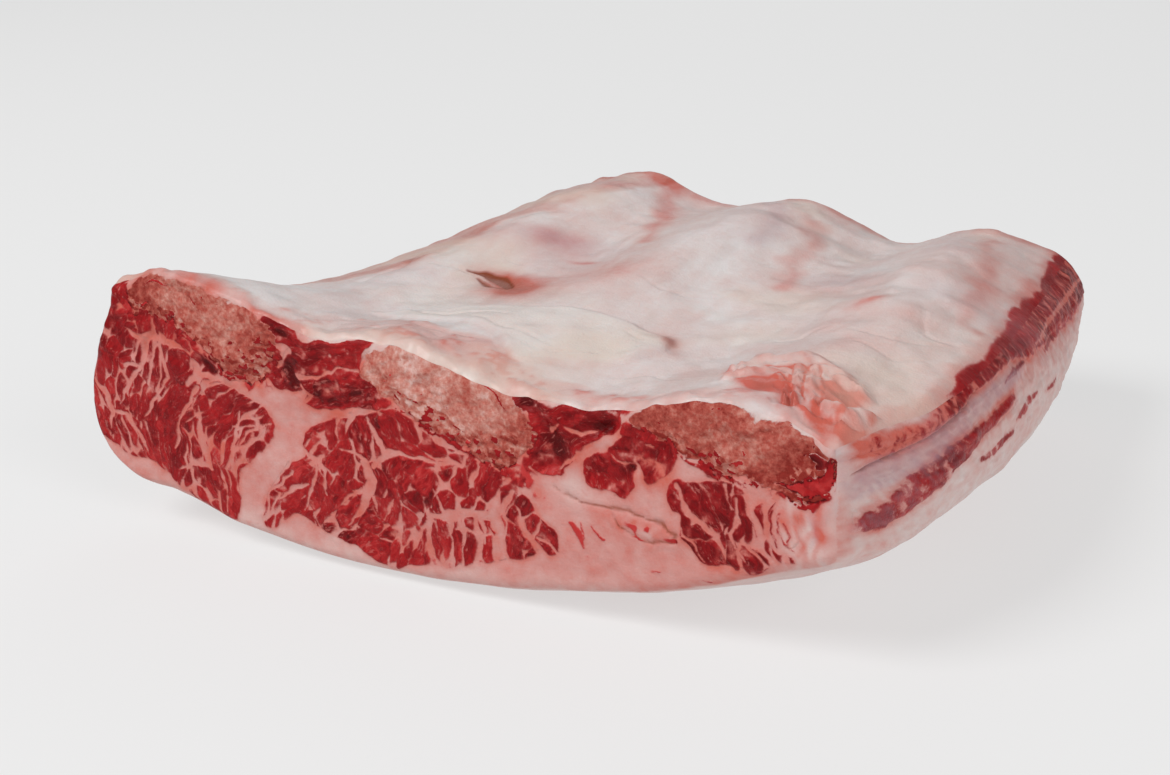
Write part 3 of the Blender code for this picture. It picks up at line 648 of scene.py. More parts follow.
def add_front_marks(x, y, wx, wy, corner, shown):
    """Adds what the front cut alone has: a small lump in its fat, a blob under the membrane and a pink,
    wispy right end with a painted highlight on it."""
    blob = (-9, 68)
    lump = spot(x, y, (0, 33.6), (9.5, 3.4), -6)
    lines = strokes(wx, wy, LUMP_LINES)
    shown.stain += 0.75 * np.clip(lines / 0.4 + 0.45, 0.0, 1.0)
    shown.relief += 1.5 * spot(x, y, blob, (3.4, 3.0)) + 0.8 * lump - 0.4 * np.clip(lines + 0.8, 0.0, 1.0)
    shown.lean = np.maximum.reduce([
        shown.lean, np.where(lump > 0.35, 1.5 * noise(x, y, 1.9, 69) - 0.75, NOWHERE),
        2.0 * (spot(x, y, blob, (3.6, 4.2), 20) - 0.55),
    ])
    smear = smooth(34.0, 40.0, x) * smooth(14.0, 24.0, y) * (1.0 - corner)
    wisp = noise(x + 1.5 * noise(x, y, 6.0, 81), y * 0.25, 1.6, 82) + 0.5 * noise(x, y, 4.0, 83)
    shown.blush += 0.26 * spot(x, y, blob, (4.0, 3.6)) + 0.24 * lump * (0.5 + noise(x, y, 2.2, 68))
    shown.blush -= 0.22 * spot(x, y, (-20, 41.5), (20, 4), -4) + 0.12 * spot(x, y, (-38, 36), (4, 4))
    shown.blush += 0.24 * np.clip(strokes(wx, wy, RIGHT_WISPS) / 0.8 + 0.6, 0.0, 1.0)
    shown.blush += smear * (0.22 * wisp - 0.20)
    # A peach patch and an orange blob at the right end, and by the blob a pale spot that is a painted
    # highlight.
    shown.blush += spots(wx, wy, [
        (0.34, (46, 46.4), (3.4, 5.0), 10), (0.50, (46, 42), (2.4, 2.4)), (-0.45, (43.2, 42.2), (1.4, 1.6)),
    ])
    shown.chill += 0.5 * smear * smooth(0.0, 0.9, -wisp)


def cut_fields(x, y, top_gap, seed):
    """What a cut shows at each place, top_gap below the membrane. The front cut has seed 0 and its own
    veins and spots."""
    wx = x + 1.0 * noise(x, y, 5.0, 11 + seed) + 0.45 * noise(x, y, 2.0, 12 + seed)
    wy = y + 1.0 * noise(x, y, 5.0, 13 + seed) + 0.45 * noise(x, y, 2.0, 14 + seed)
    meat = deepest(wx, wy, LEAN)
    calm = deepest(wx, wy, BETWEEN) + rough(x, y, 4.5, 15 + seed)
    either = np.maximum(meat, calm)
    edge, own, along_it, across, inner, tone, bundle_edge = bundle_grain(wx, wy, either > -2.0, seed)
    fat, veins = marbling(x, y, wx, wy, edge, bundle_edge, seed)
    torn = 0.5 * (noise(x * 0.8, y * 1.3, 3.0, 25 + seed) + 0.6 * noise(x, y, 1.2, 26 + seed)) - 0.42
    lean = np.minimum(either, -np.where(calm > 0.0, np.maximum(veins, torn), fat))
    if seed == 0:
        lean = np.maximum(lean, strokes(wx, wy, STREAKS))
    saw = sawn_bone(x, y, wx, wy, top_gap, seed)
    bone, bloody = saw.bone, saw.bloody
    lean = lean_about_bone(lean, saw)
    # The lean between the ribs lies in sunk pockets, which are painted darker red as shade.
    shaded_pocket = smooth(0.0, 3.0, calm)

    blood = 0.65 + 0.22 * smooth(4.0, 12.0, x) + 0.08 * smooth(-112.0, -122.0, x)
    blood += 0.28 * (own - 0.5) + 0.30 * (tone - 0.5) + 0.20 * rough(x, y, 14.0, 51 + seed)
    # Painted shade: the red is darker in the sunk pockets, and much darker in the hollows.
    blood += 0.16 * shaded_pocket + 0.60 * saw.deep - 0.24 * (1.0 - smooth(0.0, 0.30, inner)) - 0.14 * bloody
    blood = np.where(saw.red, 0.26 + 0.7 * (saw.bit - 0.62) + 0.3 * saw.deep, blood)
    blood -= (0.08 - 0.22 * saw.crumb) * smooth(-1.0, 1.0, saw.end) * (1.0 - saw.deep)
    blush = 0.77 - 0.16 * smooth(18.0, 6.0, y) + 0.13 * rough(x, y, 11.0, 61 + seed)
    blush += 0.07 * noise(x, y, 3.0, 63 + seed) + 0.25 * bloody
    blush += 0.10 * smooth(-2.0, 0.0, meat) + 0.16 * smooth(-3.0, 0.5, calm)
    rim = 1.0 - smooth(0.5, 6.5 + 2.0 * noise(x, y, 7.0, 64 + seed), top_gap)
    blush += rim * (rim_blush(x) - blush)
    corner = 1.0 - smooth(0.0, 6.0, right_x(0.5, float(seed > 0)) - x)
    blush += corner * (corner_blush(y) - blush)
    skin = smooth(-1.1, -0.3, bone) * (1.0 - smooth(-0.1, 0.5, bone))
    skin *= smooth(-0.6, 0.6, noise(x, y, 7.0, 67 + seed))
    relief = 0.40 * rough(x, y, 16.0, 71 + seed) + 0.28 * smooth(-0.4, 0.6, lean) * smooth(0.0, -1.0, bone)
    relief += 0.10 * smooth(0.0, 0.5, inner) * (lean > 0) + 0.10 * noise(x, y, 1.6, 73 + seed)
    relief += -1.3 * shaded_pocket * (0.7 + 0.6 * noise(x, y, 5.0, 74 + seed)) - 1.1 * np.minimum(saw.deep, 1.0)
    sawn = 0.22 * noise(x, y, 1.1, 75 + seed) + 0.25 * noise(x, y, 2.6, 76 + seed)
    relief += np.where(bone > 0.0, sawn, 0.0)
    relief += np.where(saw.bits, 0.50 * smooth(0.0, 0.7, saw.bit_edge) + 0.3 * (saw.bit - 0.7), 0.0)
    shown = SimpleNamespace(
        lean=lean, bone=bone, blood=np.where(bone > -0.3, marrow_red(x, y, saw, seed), blood), blush=blush,
        stain=0.14 * skin * (1.0 - saw.bits), chill=corner * corner_chill(y),
        grain_x=along_it, grain_y=across, grain_z=9.0 * own, relief=relief,
    )
    if seed == 0:
        add_front_marks(x, y, wx, wy, corner, shown)
    shown.lean = np.where(saw.hole | (saw.crack > 0.4), 0.8, shown.lean)
    shown.chill *= smooth(0.2, -0.8, np.maximum(shown.lean, bone))
    return vars(shown)


# ---- what the right and left sides show ------------------------------------------------------------------
SIDE_HEIGHT = 76.0
SIDE = np.array((DEPTH, SIDE_HEIGHT))
BAND_EDGE = (0.86, 0.885, 0.865, 0.845, 0.76)  # lower edge of the upper band, at PLACES
FLANK_LOW = (0.20, 0.55, 0.70, 0.70, 0.70)
FLANK_HIGH = (0.38, 0.71, 0.76, 0.76, 0.76)
FLANK_REACH = (0.025, 0.43)
BAND_DEPTH, FLANK_DEPTH = 5.06, 3.68  # how deep the two flat muscles lie in the side
# Lower and upper edge of the lean under the membrane: shares of the depth, and of the height there
UPPER_LOW = ((0, .03, .06, .115, .15, .187, .23, .273, .36, .442, .50, .542, .70, .865, 1),
             (.90, .88, .835, .81, .85, .895, .915, .94, .935, .915, .87, .855, .82, .765, .70))
UPPER_HIGH = ((0, .03, .06, .115, .14, .165, .19, 1), (.95, .965, .955, .925, .915, .97, 1.05, 1.05))
# Strokes on the sides: share of the depth, share of the height, and width in mm
LOWER_MUSCLE = [
    [(.027, .30, 6), (.055, .315, 11), (.083, .37, 13), (.11, .46, 16), (.135, .525, 17), (.165, .58, 16),
     (.19, .62, 14), (.23, .66, 11), (.27, .685, 7.5), (.305, .70, 6.5), (.335, .715, 5), (.363, .73, 4),
     (.385, .735, 1)],
]
BACK_MUSCLE = [[(.60, .80, 1), (.68, .815, 4.5), (.8, .81, 5.5), (.9, .77, 5), (1, .70, 4)]]
DASHES = [
    [(.272, .45, 1.6), (.31, .47, 5.6), (.35, .49, 5.2), (.378, .505, 1.4)],
    [(.395, .57, 1.4), (.44, .59, 4.4), (.475, .605, 4), (.505, .612, 1.2)],
    [(.375, .852, 1.2), (.42, .858, 4), (.475, .862, 1.4)],
    [(.56, .56, .5), (.60, .57, 1.6), (.64, .575, .4)],
    [(0, .17, 1.5), (.012, .20, 3.5), (.022, .27, 1)], [(.01, .41, .6), (.02, .36, 1.6), (.03, .37, .5)],
]
PALE_LINE = [[(.52, .875, .6), (.62, .89, 2.0), (.75, .905, 2.4), (.9, .88, 2.2), (1, .83, 1.6)]]
SHEEN = [
    [(.03, .62, 16), (.08, .70, 18), (.13, .74, 15), (.18, .80, 14), (.25, .84, 11), (.33, .86, 8),
     (.45, .82, 5)],
]
SEAM = [
    [(.020, .74, .4), (.04, .752, 1.2), (.117, .818, 1.4), (.18, .862, 1.5), (.223, .89, 1.2),
     (.285, .94, .5)],
]
GREY = [
    [(.115, .775, .6), (.14, .785, 3), (.165, .80, 2.4), (.18, .825, 3), (.21, .85, 1.6)],
    [(.222, .862, 1), (.24, .872, 2.6), (.262, .88, 1)], [(.05, .66, .5), (.075, .655, 3), (.10, .69, 1)],
]
LEFT_STREAKS = [
    [(.10, .30, .5), (.22, .27, 3), (.36, .25, 1)],
    [(.48, .22, .5), (.60, .25, 3.4), (.78, .24, 2), (.9, .22, .5)],
]
LEFT_OPEN_LEAN = (0.43, 0.80)  # from this share of the height to this one


def side_strokes(share, t, many):
    """How deep inside strokes on a side each place lies, in mm."""
    return strokes(share * DEPTH, t * SIDE_HEIGHT, [
        [(a * DEPTH, b * SIDE_HEIGHT, width) for a, b, width in one] for one in many
    ])


def right_fat_lines(x, y, upper, near, stray):
    """How deep each place lies in the fat between the fibres of the right side's lean. near is 1 where the
    side is close to the front cut."""
    strands = (0.15 + 0.80 * near) * (0.8 + 0.5 * noise(x, y, 9.0, 214))
    strands = strands - cells(x + 0.8 * stray, y, 68.0, 30.0, 6.2, 215)[0]
    thin = -0.30 + 0.62 * near + 0.5 * noise(x, y, 6.0, 216) - 2.0 * smooth(0.9, 0.3, near)
    thin = thin - cells(x + 0.5 * stray, y, 76.0, 14.0, 2.4, 217)[0]
    white = np.where(upper > -1.0, np.maximum(strands, thin), -2.0)
    return np.maximum(white, 0.9 * noise(x * 0.9 + 0.3 * y, y * 0.5, 2.6, 218) - 0.86 + 0.30 * near)


def right_fields(share, t):
    """What the right side shows: the lean under the membrane, a flat muscle that rises from the front, a
    few dashes of lean, and a blue film over the seam between them."""
    x, y = share * DEPTH, t * SIDE_HEIGHT
    stray = 1.1 * rough(x, y, 8.0, 201) + 0.7 * noise(x, y, 2.4, 202)
    low, high = np.interp(share, *UPPER_LOW), np.interp(share, *UPPER_HIGH)
    upper = np.minimum(t - low, high - t) * SIDE_HEIGHT + stray
    lower = side_strokes(share, t, LOWER_MUSCLE) + 1.5 * stray
    back, dashes = side_strokes(share, t, BACK_MUSCLE), side_strokes(share, t, DASHES)
    lean = np.maximum.reduce([upper, lower, back + 0.7 * stray, dashes + 0.6 * stray])
    fibre = noise(x + 0.35 * y, y * 0.2, 1.5, 211) + 0.5 * noise(x + 0.35 * y, y * 0.35, 0.8, 212)
    near = 1.0 - smooth(0.10, 0.42, share)
    white = right_fat_lines(x, y, upper, near, stray)
    lean = np.minimum(lean, -np.maximum(white, side_strokes(share, t, PALE_LINE)))
    lean = 0.40 * (lean - 2.2 * (1.0 - smooth(0.0, 0.05, share))) + 0.24 * fibre
    sheen = smooth(0.0, 1.0, side_strokes(share, t, SHEEN) / 5.0 + 0.5)
    seam, grey = side_strokes(share, t, SEAM), side_strokes(share, t, GREY) + 0.8 * stray

    blood = 0.57 + 0.34 * rough(x, y, 12.0, 221) + 0.12 * noise(x * 0.4, y, 2.0, 222)
    blood += 0.12 * smooth(0.0, 3.0, upper) - 0.20 * smooth(0.38, 0.5, share) * smooth(0.7, 0.5, share)
    blush = 0.40 + 0.18 * rough(x, y, 15.0, 231) + 0.09 * noise(x, y, 3.0, 232) + 0.08 * fibre
    blush += 0.26 * smooth(0.60, 0.78, t) + 0.36 * smooth(-6.0, 0.5, np.maximum(upper, lower))
    blush += 0.16 * smooth(0.7, 0.95, share)
    blush += (1.0 - smooth(0.0, 0.035, share)) * (corner_blush(y) - blush)
    chill = 1.05 * sheen * (0.8 + 0.35 * fibre) + 0.25 * smooth(0.0, 1.0, noise(x, y, 18.0, 241))
    chill -= 0.8 * smooth(0.62, 0.40, t) * smooth(0.05, 0.12, share)
    chill = np.maximum(chill, smooth(-1.0, 2.0, lower) * (0.28 + 0.35 * fibre) * smooth(0.30, 0.05, share))
    chill += (1.0 - smooth(0.0, 0.03, share)) * (corner_chill(y) - chill)
    stain = 0.8 * np.clip(seam / 0.4 + 0.6, 0, 1)
    stain += 0.34 * np.clip(grey / 1.5 + 0.3, 0, 1) * (1.0 + 0.8 * fibre)
    relief = 0.7 * rough(x, y, 20.0, 251) + 0.30 * noise(x * 0.5, y, 3.0, 252) + 0.14 * noise(x, y, 1.5, 253)
    relief += 0.5 * smooth(-1.0, 1.5, upper) + 0.9 * smooth(-2.0, 3.0, lower)
    relief += (0.05 + 0.13 * near) * np.where(lean > 0.0, fibre, 0.0)
    relief += 0.3 * np.clip(white + 0.3, 0.0, 0.6) - 0.7 * np.clip(seam + 0.6, 0, 1)
    return dict(lean=lean, bone=NOWHERE, blood=blood, blush=blush, stain=stain, chill=chill,
                grain_x=y * 0.5, grain_y=x * (0.28 + 0.72 * near), grain_z=0.5 * stray, relief=relief)


def left_fields(share, t):
    """The side that the photo doesn't show: the left muscle lies open between two margins of fat."""
    x, y = share * DEPTH, t * SIDE_HEIGHT
    stray = 1.2 * rough(x, y, 11.0, 301) + 0.5 * noise(x, y, 2.4, 302)
    open_lean = np.minimum(t - LEFT_OPEN_LEAN[0], LEFT_OPEN_LEAN[1] - t) * SIDE_HEIGHT + stray
    streak = side_strokes(share, t, LEFT_STREAKS) + 0.5 * stray
    edge, own, along_it, across = cells(x + stray, y + 0.5 * stray, 4.0, 42.0, 5.5, 310)
    fat = 0.35 + 0.9 * noise(x, y, 20.0, 311) + 0.3 * noise(x * 0.4, y, 3.0, 312) - edge
    lean = np.minimum(np.maximum(open_lean, streak), -fat)
    relief = 0.8 * rough(x, y, 24.0, 341) + 0.12 * noise(x * 0.5, y, 2.0, 342)
    relief += 0.35 * smooth(-0.5, 1.0, lean)
    return dict(
        lean=lean, bone=NOWHERE, blood=0.42 + 0.3 * (own - 0.5) + 0.2 * rough(x, y, 18.0, 321),
        blush=0.60 + 0.18 * rough(x, y, 16.0, 331) + 0.07 * noise(x, y, 3.0, 332), stain=0.0,
        chill=0.55 * smooth(-0.1, 0.5, rough(x, y, 40.0, 313)),
        grain_x=along_it, grain_y=across, grain_z=9.0 * own, relief=relief,
    )


def belly_fields(x, y):
    """The fat side, which the slab lies on: pale, lumpy, with a few pink and lean patches."""
    return dict(
        lean=1.8 * rough(x, y, 26.0, 401) - 1.75 + 0.5 * noise(x, y, 4.0, 402), bone=NOWHERE, blood=0.4,
        blush=0.42 + 0.22 * rough(x, y, 30.0, 411) + 0.08 * noise(x, y, 5.0, 412), stain=0.0, chill=0.0,
        grain_x=0.4 * x, grain_y=y, grain_z=0.0, relief=0.35 * rough(x, y, 14.0, 421) - 0.35,
    )


# ---- what the membrane shows -------------------------------------------------------------------------------
LUMP_FINE = ((30.0, 25.0), (26.0, 21.0))  # middle and half size of the finely meshed place about the lump
LUMP_BASE = ((30.0, 24.0), (21.0, 15.0))  # and of the lump's low base
BASE_RISE = 2.2
LUMP_ROLLS = (  # crumpled rolls: height, how much pinker than the lump, then x, y and half width along each
    (3.52, 0.0, ((12, 22, 4), (19, 31, 8), (29, 34, 9), (39, 30, 6))),
    (3.04, 0.18, ((14, 17, 3.2), (20, 20.5, 5.4), (27, 22, 4.6))),
    (2.88, 0.26, ((34, 28, 3.4), (37, 20, 3.4), (38.5, 13, 2.4))),
    (2.56, 0.24, ((30.5, 26, 2.8), (33.5, 18, 2.8), (36, 10.5, 2.0))),
    (2.40, 0.26, ((27.5, 20, 2.0), (30.5, 14.5, 2.2), (33, 9.5, 1.6))),
    (3.36, 0.10, ((35, 29, 4.6), (42, 28, 5.4), (47.5, 26, 4.4))),
    (3.04, -0.26, ((41.5, 12.5, 2.8), (45, 12, 3.8), (50, 14, 4.0), (54, 18, 2.6))),
    (1.44, 0.20, ((37.5, 7.5, 1.8), (41, 6, 2.6), (44.5, 6.5, 1.8))),
    (1.60, 0.26, ((47.5, 8.5, 1.8), (50, 7.5, 2.4), (53, 10, 1.8))),
)
# Pockets between the lump's rolls, as spots() takes them: sunk, and painted redder and browner as shade
LUMP_SHADED_POCKETS = ((1, (25.5, 13.0), (5.5, 2.4), 8), (1, (44.0, 21.0), (5.0, 2.6), 25),
                (1, (33.5, 9.0), (3.0, 1.8)))
LUMP_BLOBS = ((1, (43.5, 3.5), (3.0, 2.2), 20), (1, (49.5, 6.5), (2.6, 2.4)), (1, (44.4, 8.2), (1.8, 1.6)),
              (1, (54.0, 18.0), (1.2, 3.6)), (1, (40.5, 10.5), (1.6, 2.6), 20))
DENT_MIDDLE = (-92.0, 83.5)
DENT_FINE = (DENT_MIDDLE, (17.0, 17.0))
DENT_RUST = ((1, (-80, 74), (9.0, 9.5), -35), (0.9, (-92, 86.5), (11.0, 6.0), -30))
DENT_SLITS = [[(-105, 88, .4), (-99, 90, 3.0), (-93, 87, 4.4), (-87, 82.5, 2.2)],
              [(-100, 85, .4), (-94, 81, 1.6), (-88, 80, 2.2)]]
FLAP = [(-108, 36), (-95, 33), (-80, 33), (-65, 30), (-56, 22), (-49, 16.5), (-38, 19), (-28, 26), (-20, 33),
        (-14, 44), (-16, 53), (-28, 58), (-40, 62), (-55, 60), (-72, 54), (-90, 46)]
# Folds in the membrane: x, y and width along each. They are sunk, and painted a little darker as shade.
FOLDS = [
    [(-100, 42, .4), (-84, 40, 1.4), (-66, 44, .3)], [(-74, 37, .3), (-58, 34, 1.2), (-44, 30, .3)],
    [(-52, 27, .3), (-42, 26, 1.0), (-32, 33, .3)], [(-30, 52, .3), (-24, 47, 1.2), (-22, 39, .3)],
    [(-50, 96, .2), (-36, 92, .9), (-20, 95, .2)], [(-128, 60, .3), (-124, 78, 1.4), (-126, 96, .3)],
    [(-96, 24, .2), (-80, 20, 1.0), (-62, 23, .2)], [(-24, 20, .2), (-12, 24, .9), (0, 20, .2)],
    [(36, 62, .2), (46, 58, 1.1), (56, 64, .2)], [(30, 72, .2), (42, 70, .9), (54, 78, .2)],
    [(-103, 88, .5), (-109, 86.5, 1.1), (-118, 84.5, .3)], [(-101, 108, .2), (-96, 105, .9), (-90, 103, .3)],
    [(44, 96, .2), (50, 84, 1.2), (57, 80, .2)], [(8, 60, .2), (18, 66, .9), (22, 76, .2)],
]
# How far the front and left margins reach in, by x and by y, and the bare lean at the right, by the share
# of the depth
FRONT_REACH = ((-178, -122, -104, -82, -62, -49, -30, -10, 18, 50), (3, 6, 20, 25, 23, 15, 10, 7, 8, 14))
LEFT_REACH = ((0, 55, 68, 90, 112, 128, 146, 166, 185, 222), (5, 7, 24, 28, 22, 21, 25, 30, 33, 33))
BARE_REACH = ((0, .15, .19, .27, .38, .50, .635, .77, .91, 1),
              (-4, -4, 0.3, 2.2, 1.2, 2.4, 3.2, 1.0, 3.2, 3.6))
# Broad soft bands: strength, then x, y and width along each
PINK_BANDS = (
    (0.52, (-88, 215, 8), (-79, 190, 9), (-62, 140, 5)), (0.40, (-22, 195, 6), (-14, 160, 7), (-8, 118, 6)),
    (0.28, (38, 200, 6), (50, 150, 8), (54, 100, 4)), (0.24, (-96, 200, 5), (-106, 150, 6)),
)
COLD_BANDS = ((0.60, (-45, 205, 8), (-33, 185, 8), (-28, 150, 7)), (0.30, (20, 215, 10), (30, 170, 12)))
RED_SPOT = ((-16, 50), (3.4, 7.0), 35)
PINK_SPOTS = (
    (0.44, (-92, 127), (13, 8), 20), (0.60, (-76, 114), (5, 2.2), -15), (0.60, (27, 100), (6, 2.2), 60),
    (0.30, (-124, 84), (5, 10)), (0.55, (59, 97), (3, 3)), (0.22, (-60, 100), (20, 14)), (0.62, *RED_SPOT),
)
COLD_SPOTS = ((0.65, (-92, 127), (14, 9), 20), (0.50, (8, 132), (12, 10)), (-0.60, (-92, 97), (9, 4), -20))
STAINED_SPOTS = ((0.30, (-124, 85), (3, 6)), (0.10, (8, 132), (12, 10)))


def lump_rise(x, y):
    """Height of the crumpled lump over the membrane, how deep in its creases a place lies, how far on
    the lump it is, how far in its pockets, and how much pinker its roll is. The creases and pockets are
    painted redder as shade."""
    dx = x + 1.1 * noise(x, y, 5.0, 501) + 0.45 * noise(x, y, 2.0, 505)
    dy = y + 1.1 * noise(x, y, 5.0, 502) + 0.45 * noise(x, y, 2.0, 506)
    rises = []
    for high, _, roll in LUMP_ROLLS:
        deep = strokes(dx, dy, [[(a, b, 2.0 * w) for a, b, w in roll]])
        wide = max(w for _, _, w in roll)
        rises.append(high * smooth(-0.06, 1.0, deep / wide))
    ordered = np.sort(rises, axis=0)
    top, other = ordered[-1], ordered[-2]
    rise = (top ** 5 + other ** 5 + ordered[-3] ** 5) ** 0.2
    (mx, my), (long, wide) = LUMP_BASE
    rise = np.maximum(rise, BASE_RISE * smooth(1.15, 0.5, np.hypot((dx - mx) / long, (dy - my) / wide)))
    on = smooth(0.2, 1.8, rise)
    shaded_crease = on * smooth(1.0, 0.0, top - other) * smooth(3.6, 1.6, top)
    wrinkle = 1.0 - 2.0 * np.abs(noise(dx + 0.6 * dy, 1.5 * dy, 4.2, 503))
    rise = rise + on * (0.55 * wrinkle + 0.35 * noise(x, y, 1.6, 504)) - 0.30 * shaded_crease
    pinker = np.array([pink for _, pink, _ in LUMP_ROLLS])[np.argmax(rises, axis=0)]
    return np.maximum(rise, 0.0), shaded_crease, on, spots(x, y, LUMP_SHADED_POCKETS), pinker


def margins(x, y, torn):
    """How far each place is in the front, back, left and right margin of the membrane, from 0 to 1."""
    share = y / DEPTH
    reach = np.interp(x, *FRONT_REACH)
    return (
        1.0 - smooth(reach - 3.0, reach + 3.0, y + torn),
        smooth(DEPTH - 12.0, DEPTH - 3.0, y + torn),
        1.0 - smooth(-2.0, 2.0, x - left_x(1.0, share) - np.interp(y, *LEFT_REACH) + 0.8 * torn),
        1.0 - smooth(1.0, 8.0, right_x(1.0, share) - x + torn),
    )


def top_fields(x, y):
    """What the membrane shows: pink and blue under a pale skin, a dent, a flap, folds and a crumpled lump,
    with shade painted in the lump's creases and pockets, along the folds and the flap's edge and in the
    dent, and a painted highlight at the left front.
    """
    share = y / DEPTH
    wx, wy = x + 2.5 * noise(x, y, 12.0, 606), y + 2.5 * noise(x, y, 10.0, 607)
    near_x, near_y = wx * 0.3 + x * 0.7, wy * 0.3 + y * 0.7
    torn = 2.5 * noise(x, y, 9.0, 602) + 1.6 * noise(x, y, 3.0, 608)
    ragged = noise(x, y, 6.0, 601) * 1.5

    def bands(many):
        return sum(strength * smooth(-4.0, 4.0, strokes(wx, wy, [points]) + ragged)
                   for strength, *points in many)

    rise, shaded_crease, on, shaded_pocket, pinker = lump_rise(x, y)
    hollow = spot(near_x, near_y, DENT_MIDDLE, (10.0, 5.0), -22.0)
    halo = spot(wx, wy, (DENT_MIDDLE[0] + 12.0, DENT_MIDDLE[1] - 6.0), (15.0, 12.0), -40.0)
    rust = spots(near_x, near_y, DENT_RUST)
    slit = strokes(near_x, near_y, DENT_SLITS)
    front, back, left, right = margins(x, y, torn)
    flap = inside(wx * 0.7 + x * 0.3, wy * 0.7 + y * 0.3, rounded(FLAP))
    folds = strokes(wx, wy, FOLDS)
    pulled = noise(x, y * 0.22, 3.4, 615) + 0.5 * noise(x * 1.2, y * 0.3, 1.6, 616)
    vessels = noise(x, y, 3.6, 617) + 0.6 * noise(x, y, 1.6, 618) + 0.5 * noise(x, y, 11.0, 619)

    blush = 0.21 + 0.20 * rough(x, y, 30.0, 611) + 0.09 * noise(x, y, 8.0, 612) + 0.06 * pulled
    # Painted highlight and shade: paler at the left front, pinker towards the right.
    blush += 0.13 * smooth(-10.0, 60.0, x) - 0.12 * smooth(-60.0, -105.0, x) * smooth(100.0, 50.0, y)
    blush += (0.26 + 0.12 * smooth(-95.0, -75.0, x) * smooth(-8.0, -28.0, x)) * front
    blush += 0.40 * back + 0.42 * left + 0.30 * right
    blush += bands(PINK_BANDS) + spots(wx, wy, PINK_SPOTS) + 0.42 * halo + 0.80 * np.minimum(rust, 1.0)
    mottled = 0.16 * noise(x, y, 6.0, 614) + 0.20 * noise(x + 0.7 * y, 1.4 * y, 2.8, 613)
    blush += on * (0.26 + mottled + pinker)
    # Painted shade: the creases and pockets between the rolls are painted redder.
    blush += 0.60 * shaded_crease + (0.72 + 0.25 * noise(x, y, 2.2, 620)) * np.minimum(1.4 * shaded_pocket, 1.0)
    blush += 0.50 * np.minimum(spots(x, y, LUMP_BLOBS), 1.0)
    blush += 0.34 * front * smooth(0.2, 1.0, vessels) - 0.12 * smooth(0.0, 5.0, flap)
    rim = 1.0 - smooth(0.5, 5.0 + 9.0 * smooth(-124.0, -148.0, x + 0.8 * torn), y)
    blush += rim * (rim_blush(x) - blush)
    # The blue spot at (-112, 60) is part of the painted highlight at the left front.
    chill = bands(COLD_BANDS) + spots(wx, wy, COLD_SPOTS) + 0.30 * spot(x, y, (-112, 60), (16, 30))
    chill += 0.34 * smooth(-0.1, 0.8, rough(x, y, 40.0, 621))
    chill -= 0.75 * smooth(0.0, 0.7, rough(x, y, 34.0, 622)) + 0.55 * smooth(0.0, 5.0, flap)
    chill -= 0.35 * smooth(20.0, 55.0, x) * smooth(120.0, 60.0, y) + 0.15 * left
    chill *= 1.0 - np.minimum(np.clip(slit + 1.0, 0.0, 1.0) + rust + spot(wx, wy, *RED_SPOT), 1.0)
    # Dark brown in the dent's slits and hollow: partly a stain, partly painted shade.
    stain = np.clip(slit / 1.2 + 0.6, 0.0, 1.0) + 0.10 * hollow + 0.42 * np.minimum(rust, 1.0) ** 1.5
    # Painted shade: the pockets are painted browner too.
    stain += 0.42 * np.minimum(shaded_pocket, 1.0) ** 3 + 0.62 * spot(wx, wy, (-16, 50), (2.4, 5.4), 35)
    # Painted shade: the folds are a little darker along their lines.
    stain += spots(x, y, STAINED_SPOTS) + 0.05 * np.clip(folds + 0.4, 0, 1)
    stain += 0.16 * left * (1.0 + 0.6 * noise(x, y, 5.0, 623)) + 0.09 * back
    # Painted shadow: a thin dark line along the flap's edge.
    stain += 0.10 * np.exp(-(flap / 0.8) ** 2) * smooth(0.1, 0.8, noise(x, y, 9.0, 624) + 0.5)
    bare = np.interp(share, *BARE_REACH) - (right_x(1.0, share) - x)
    lean = 0.35 * (bare + 1.3 * noise(x, y * 0.5, 8.0, 641) + 0.5 * noise(x, y * 0.4, 2.8, 642))
    lean -= 0.4 * smooth(0.1, 0.9, noise(x, y, 4.0, 643))
    relief = 0.60 * rough(x, y, 30.0, 631) + 0.30 * noise(x, y * 0.4, 7.0, 632) + 0.12 * pulled
    relief += rise - 2.2 * hollow + 0.9 * halo + 0.8 * spot(x, y, (-95, 83.5), (4.5, 1.4), -30)
    relief -= 0.42 * np.clip(folds + 0.8, 0, 1.2) + 0.45 * np.clip(slit + 0.6, 0, 1)
    relief += 1.3 * smooth(-0.8, 2.6, flap) * (1.0 + 0.4 * noise(x, y, 7.0, 633)) + 0.5 * left
    relief += front * (0.6 * noise(x, y, 6.0, 634) + 0.3 * vessels)
    relief -= 1.6 * np.minimum(shaded_pocket, 1.0) * (1.0 - 0.6 * on)
    relief = np.maximum(relief, 0.4 - MEMBRANE)  # it stays over the meat under it
    return dict(lean=lean, bone=NOWHERE, blood=0.45 + 0.2 * noise(x, y, 7.0, 644), blush=blush, stain=stain,
                chill=chill, grain_x=0.4 * x, grain_y=y, grain_z=0.0, relief=relief)


# ---- sheets of triangles over the slab's faces ------------------------------------------------------------
def loose(low, high, spacing, seed):
    """Places that fill a box at about this spacing."""
    rows = np.arange(low[1], high[1], spacing * 0.866)
    columns = np.arange(low[0], high[0], spacing)
    x, y = np.meshgrid(columns, rows)
    x = x + spacing * 0.5 * (np.arange(len(rows)) % 2)[:, None]
    i, j = np.indices(x.shape)
    x = x + spacing * 0.22 * (scatter(i, j, seed) - 0.5)
    y = y + spacing * 0.22 * (scatter(i, j, seed + 1) - 0.5)
    return np.column_stack([x.ravel(), y.ravel()])


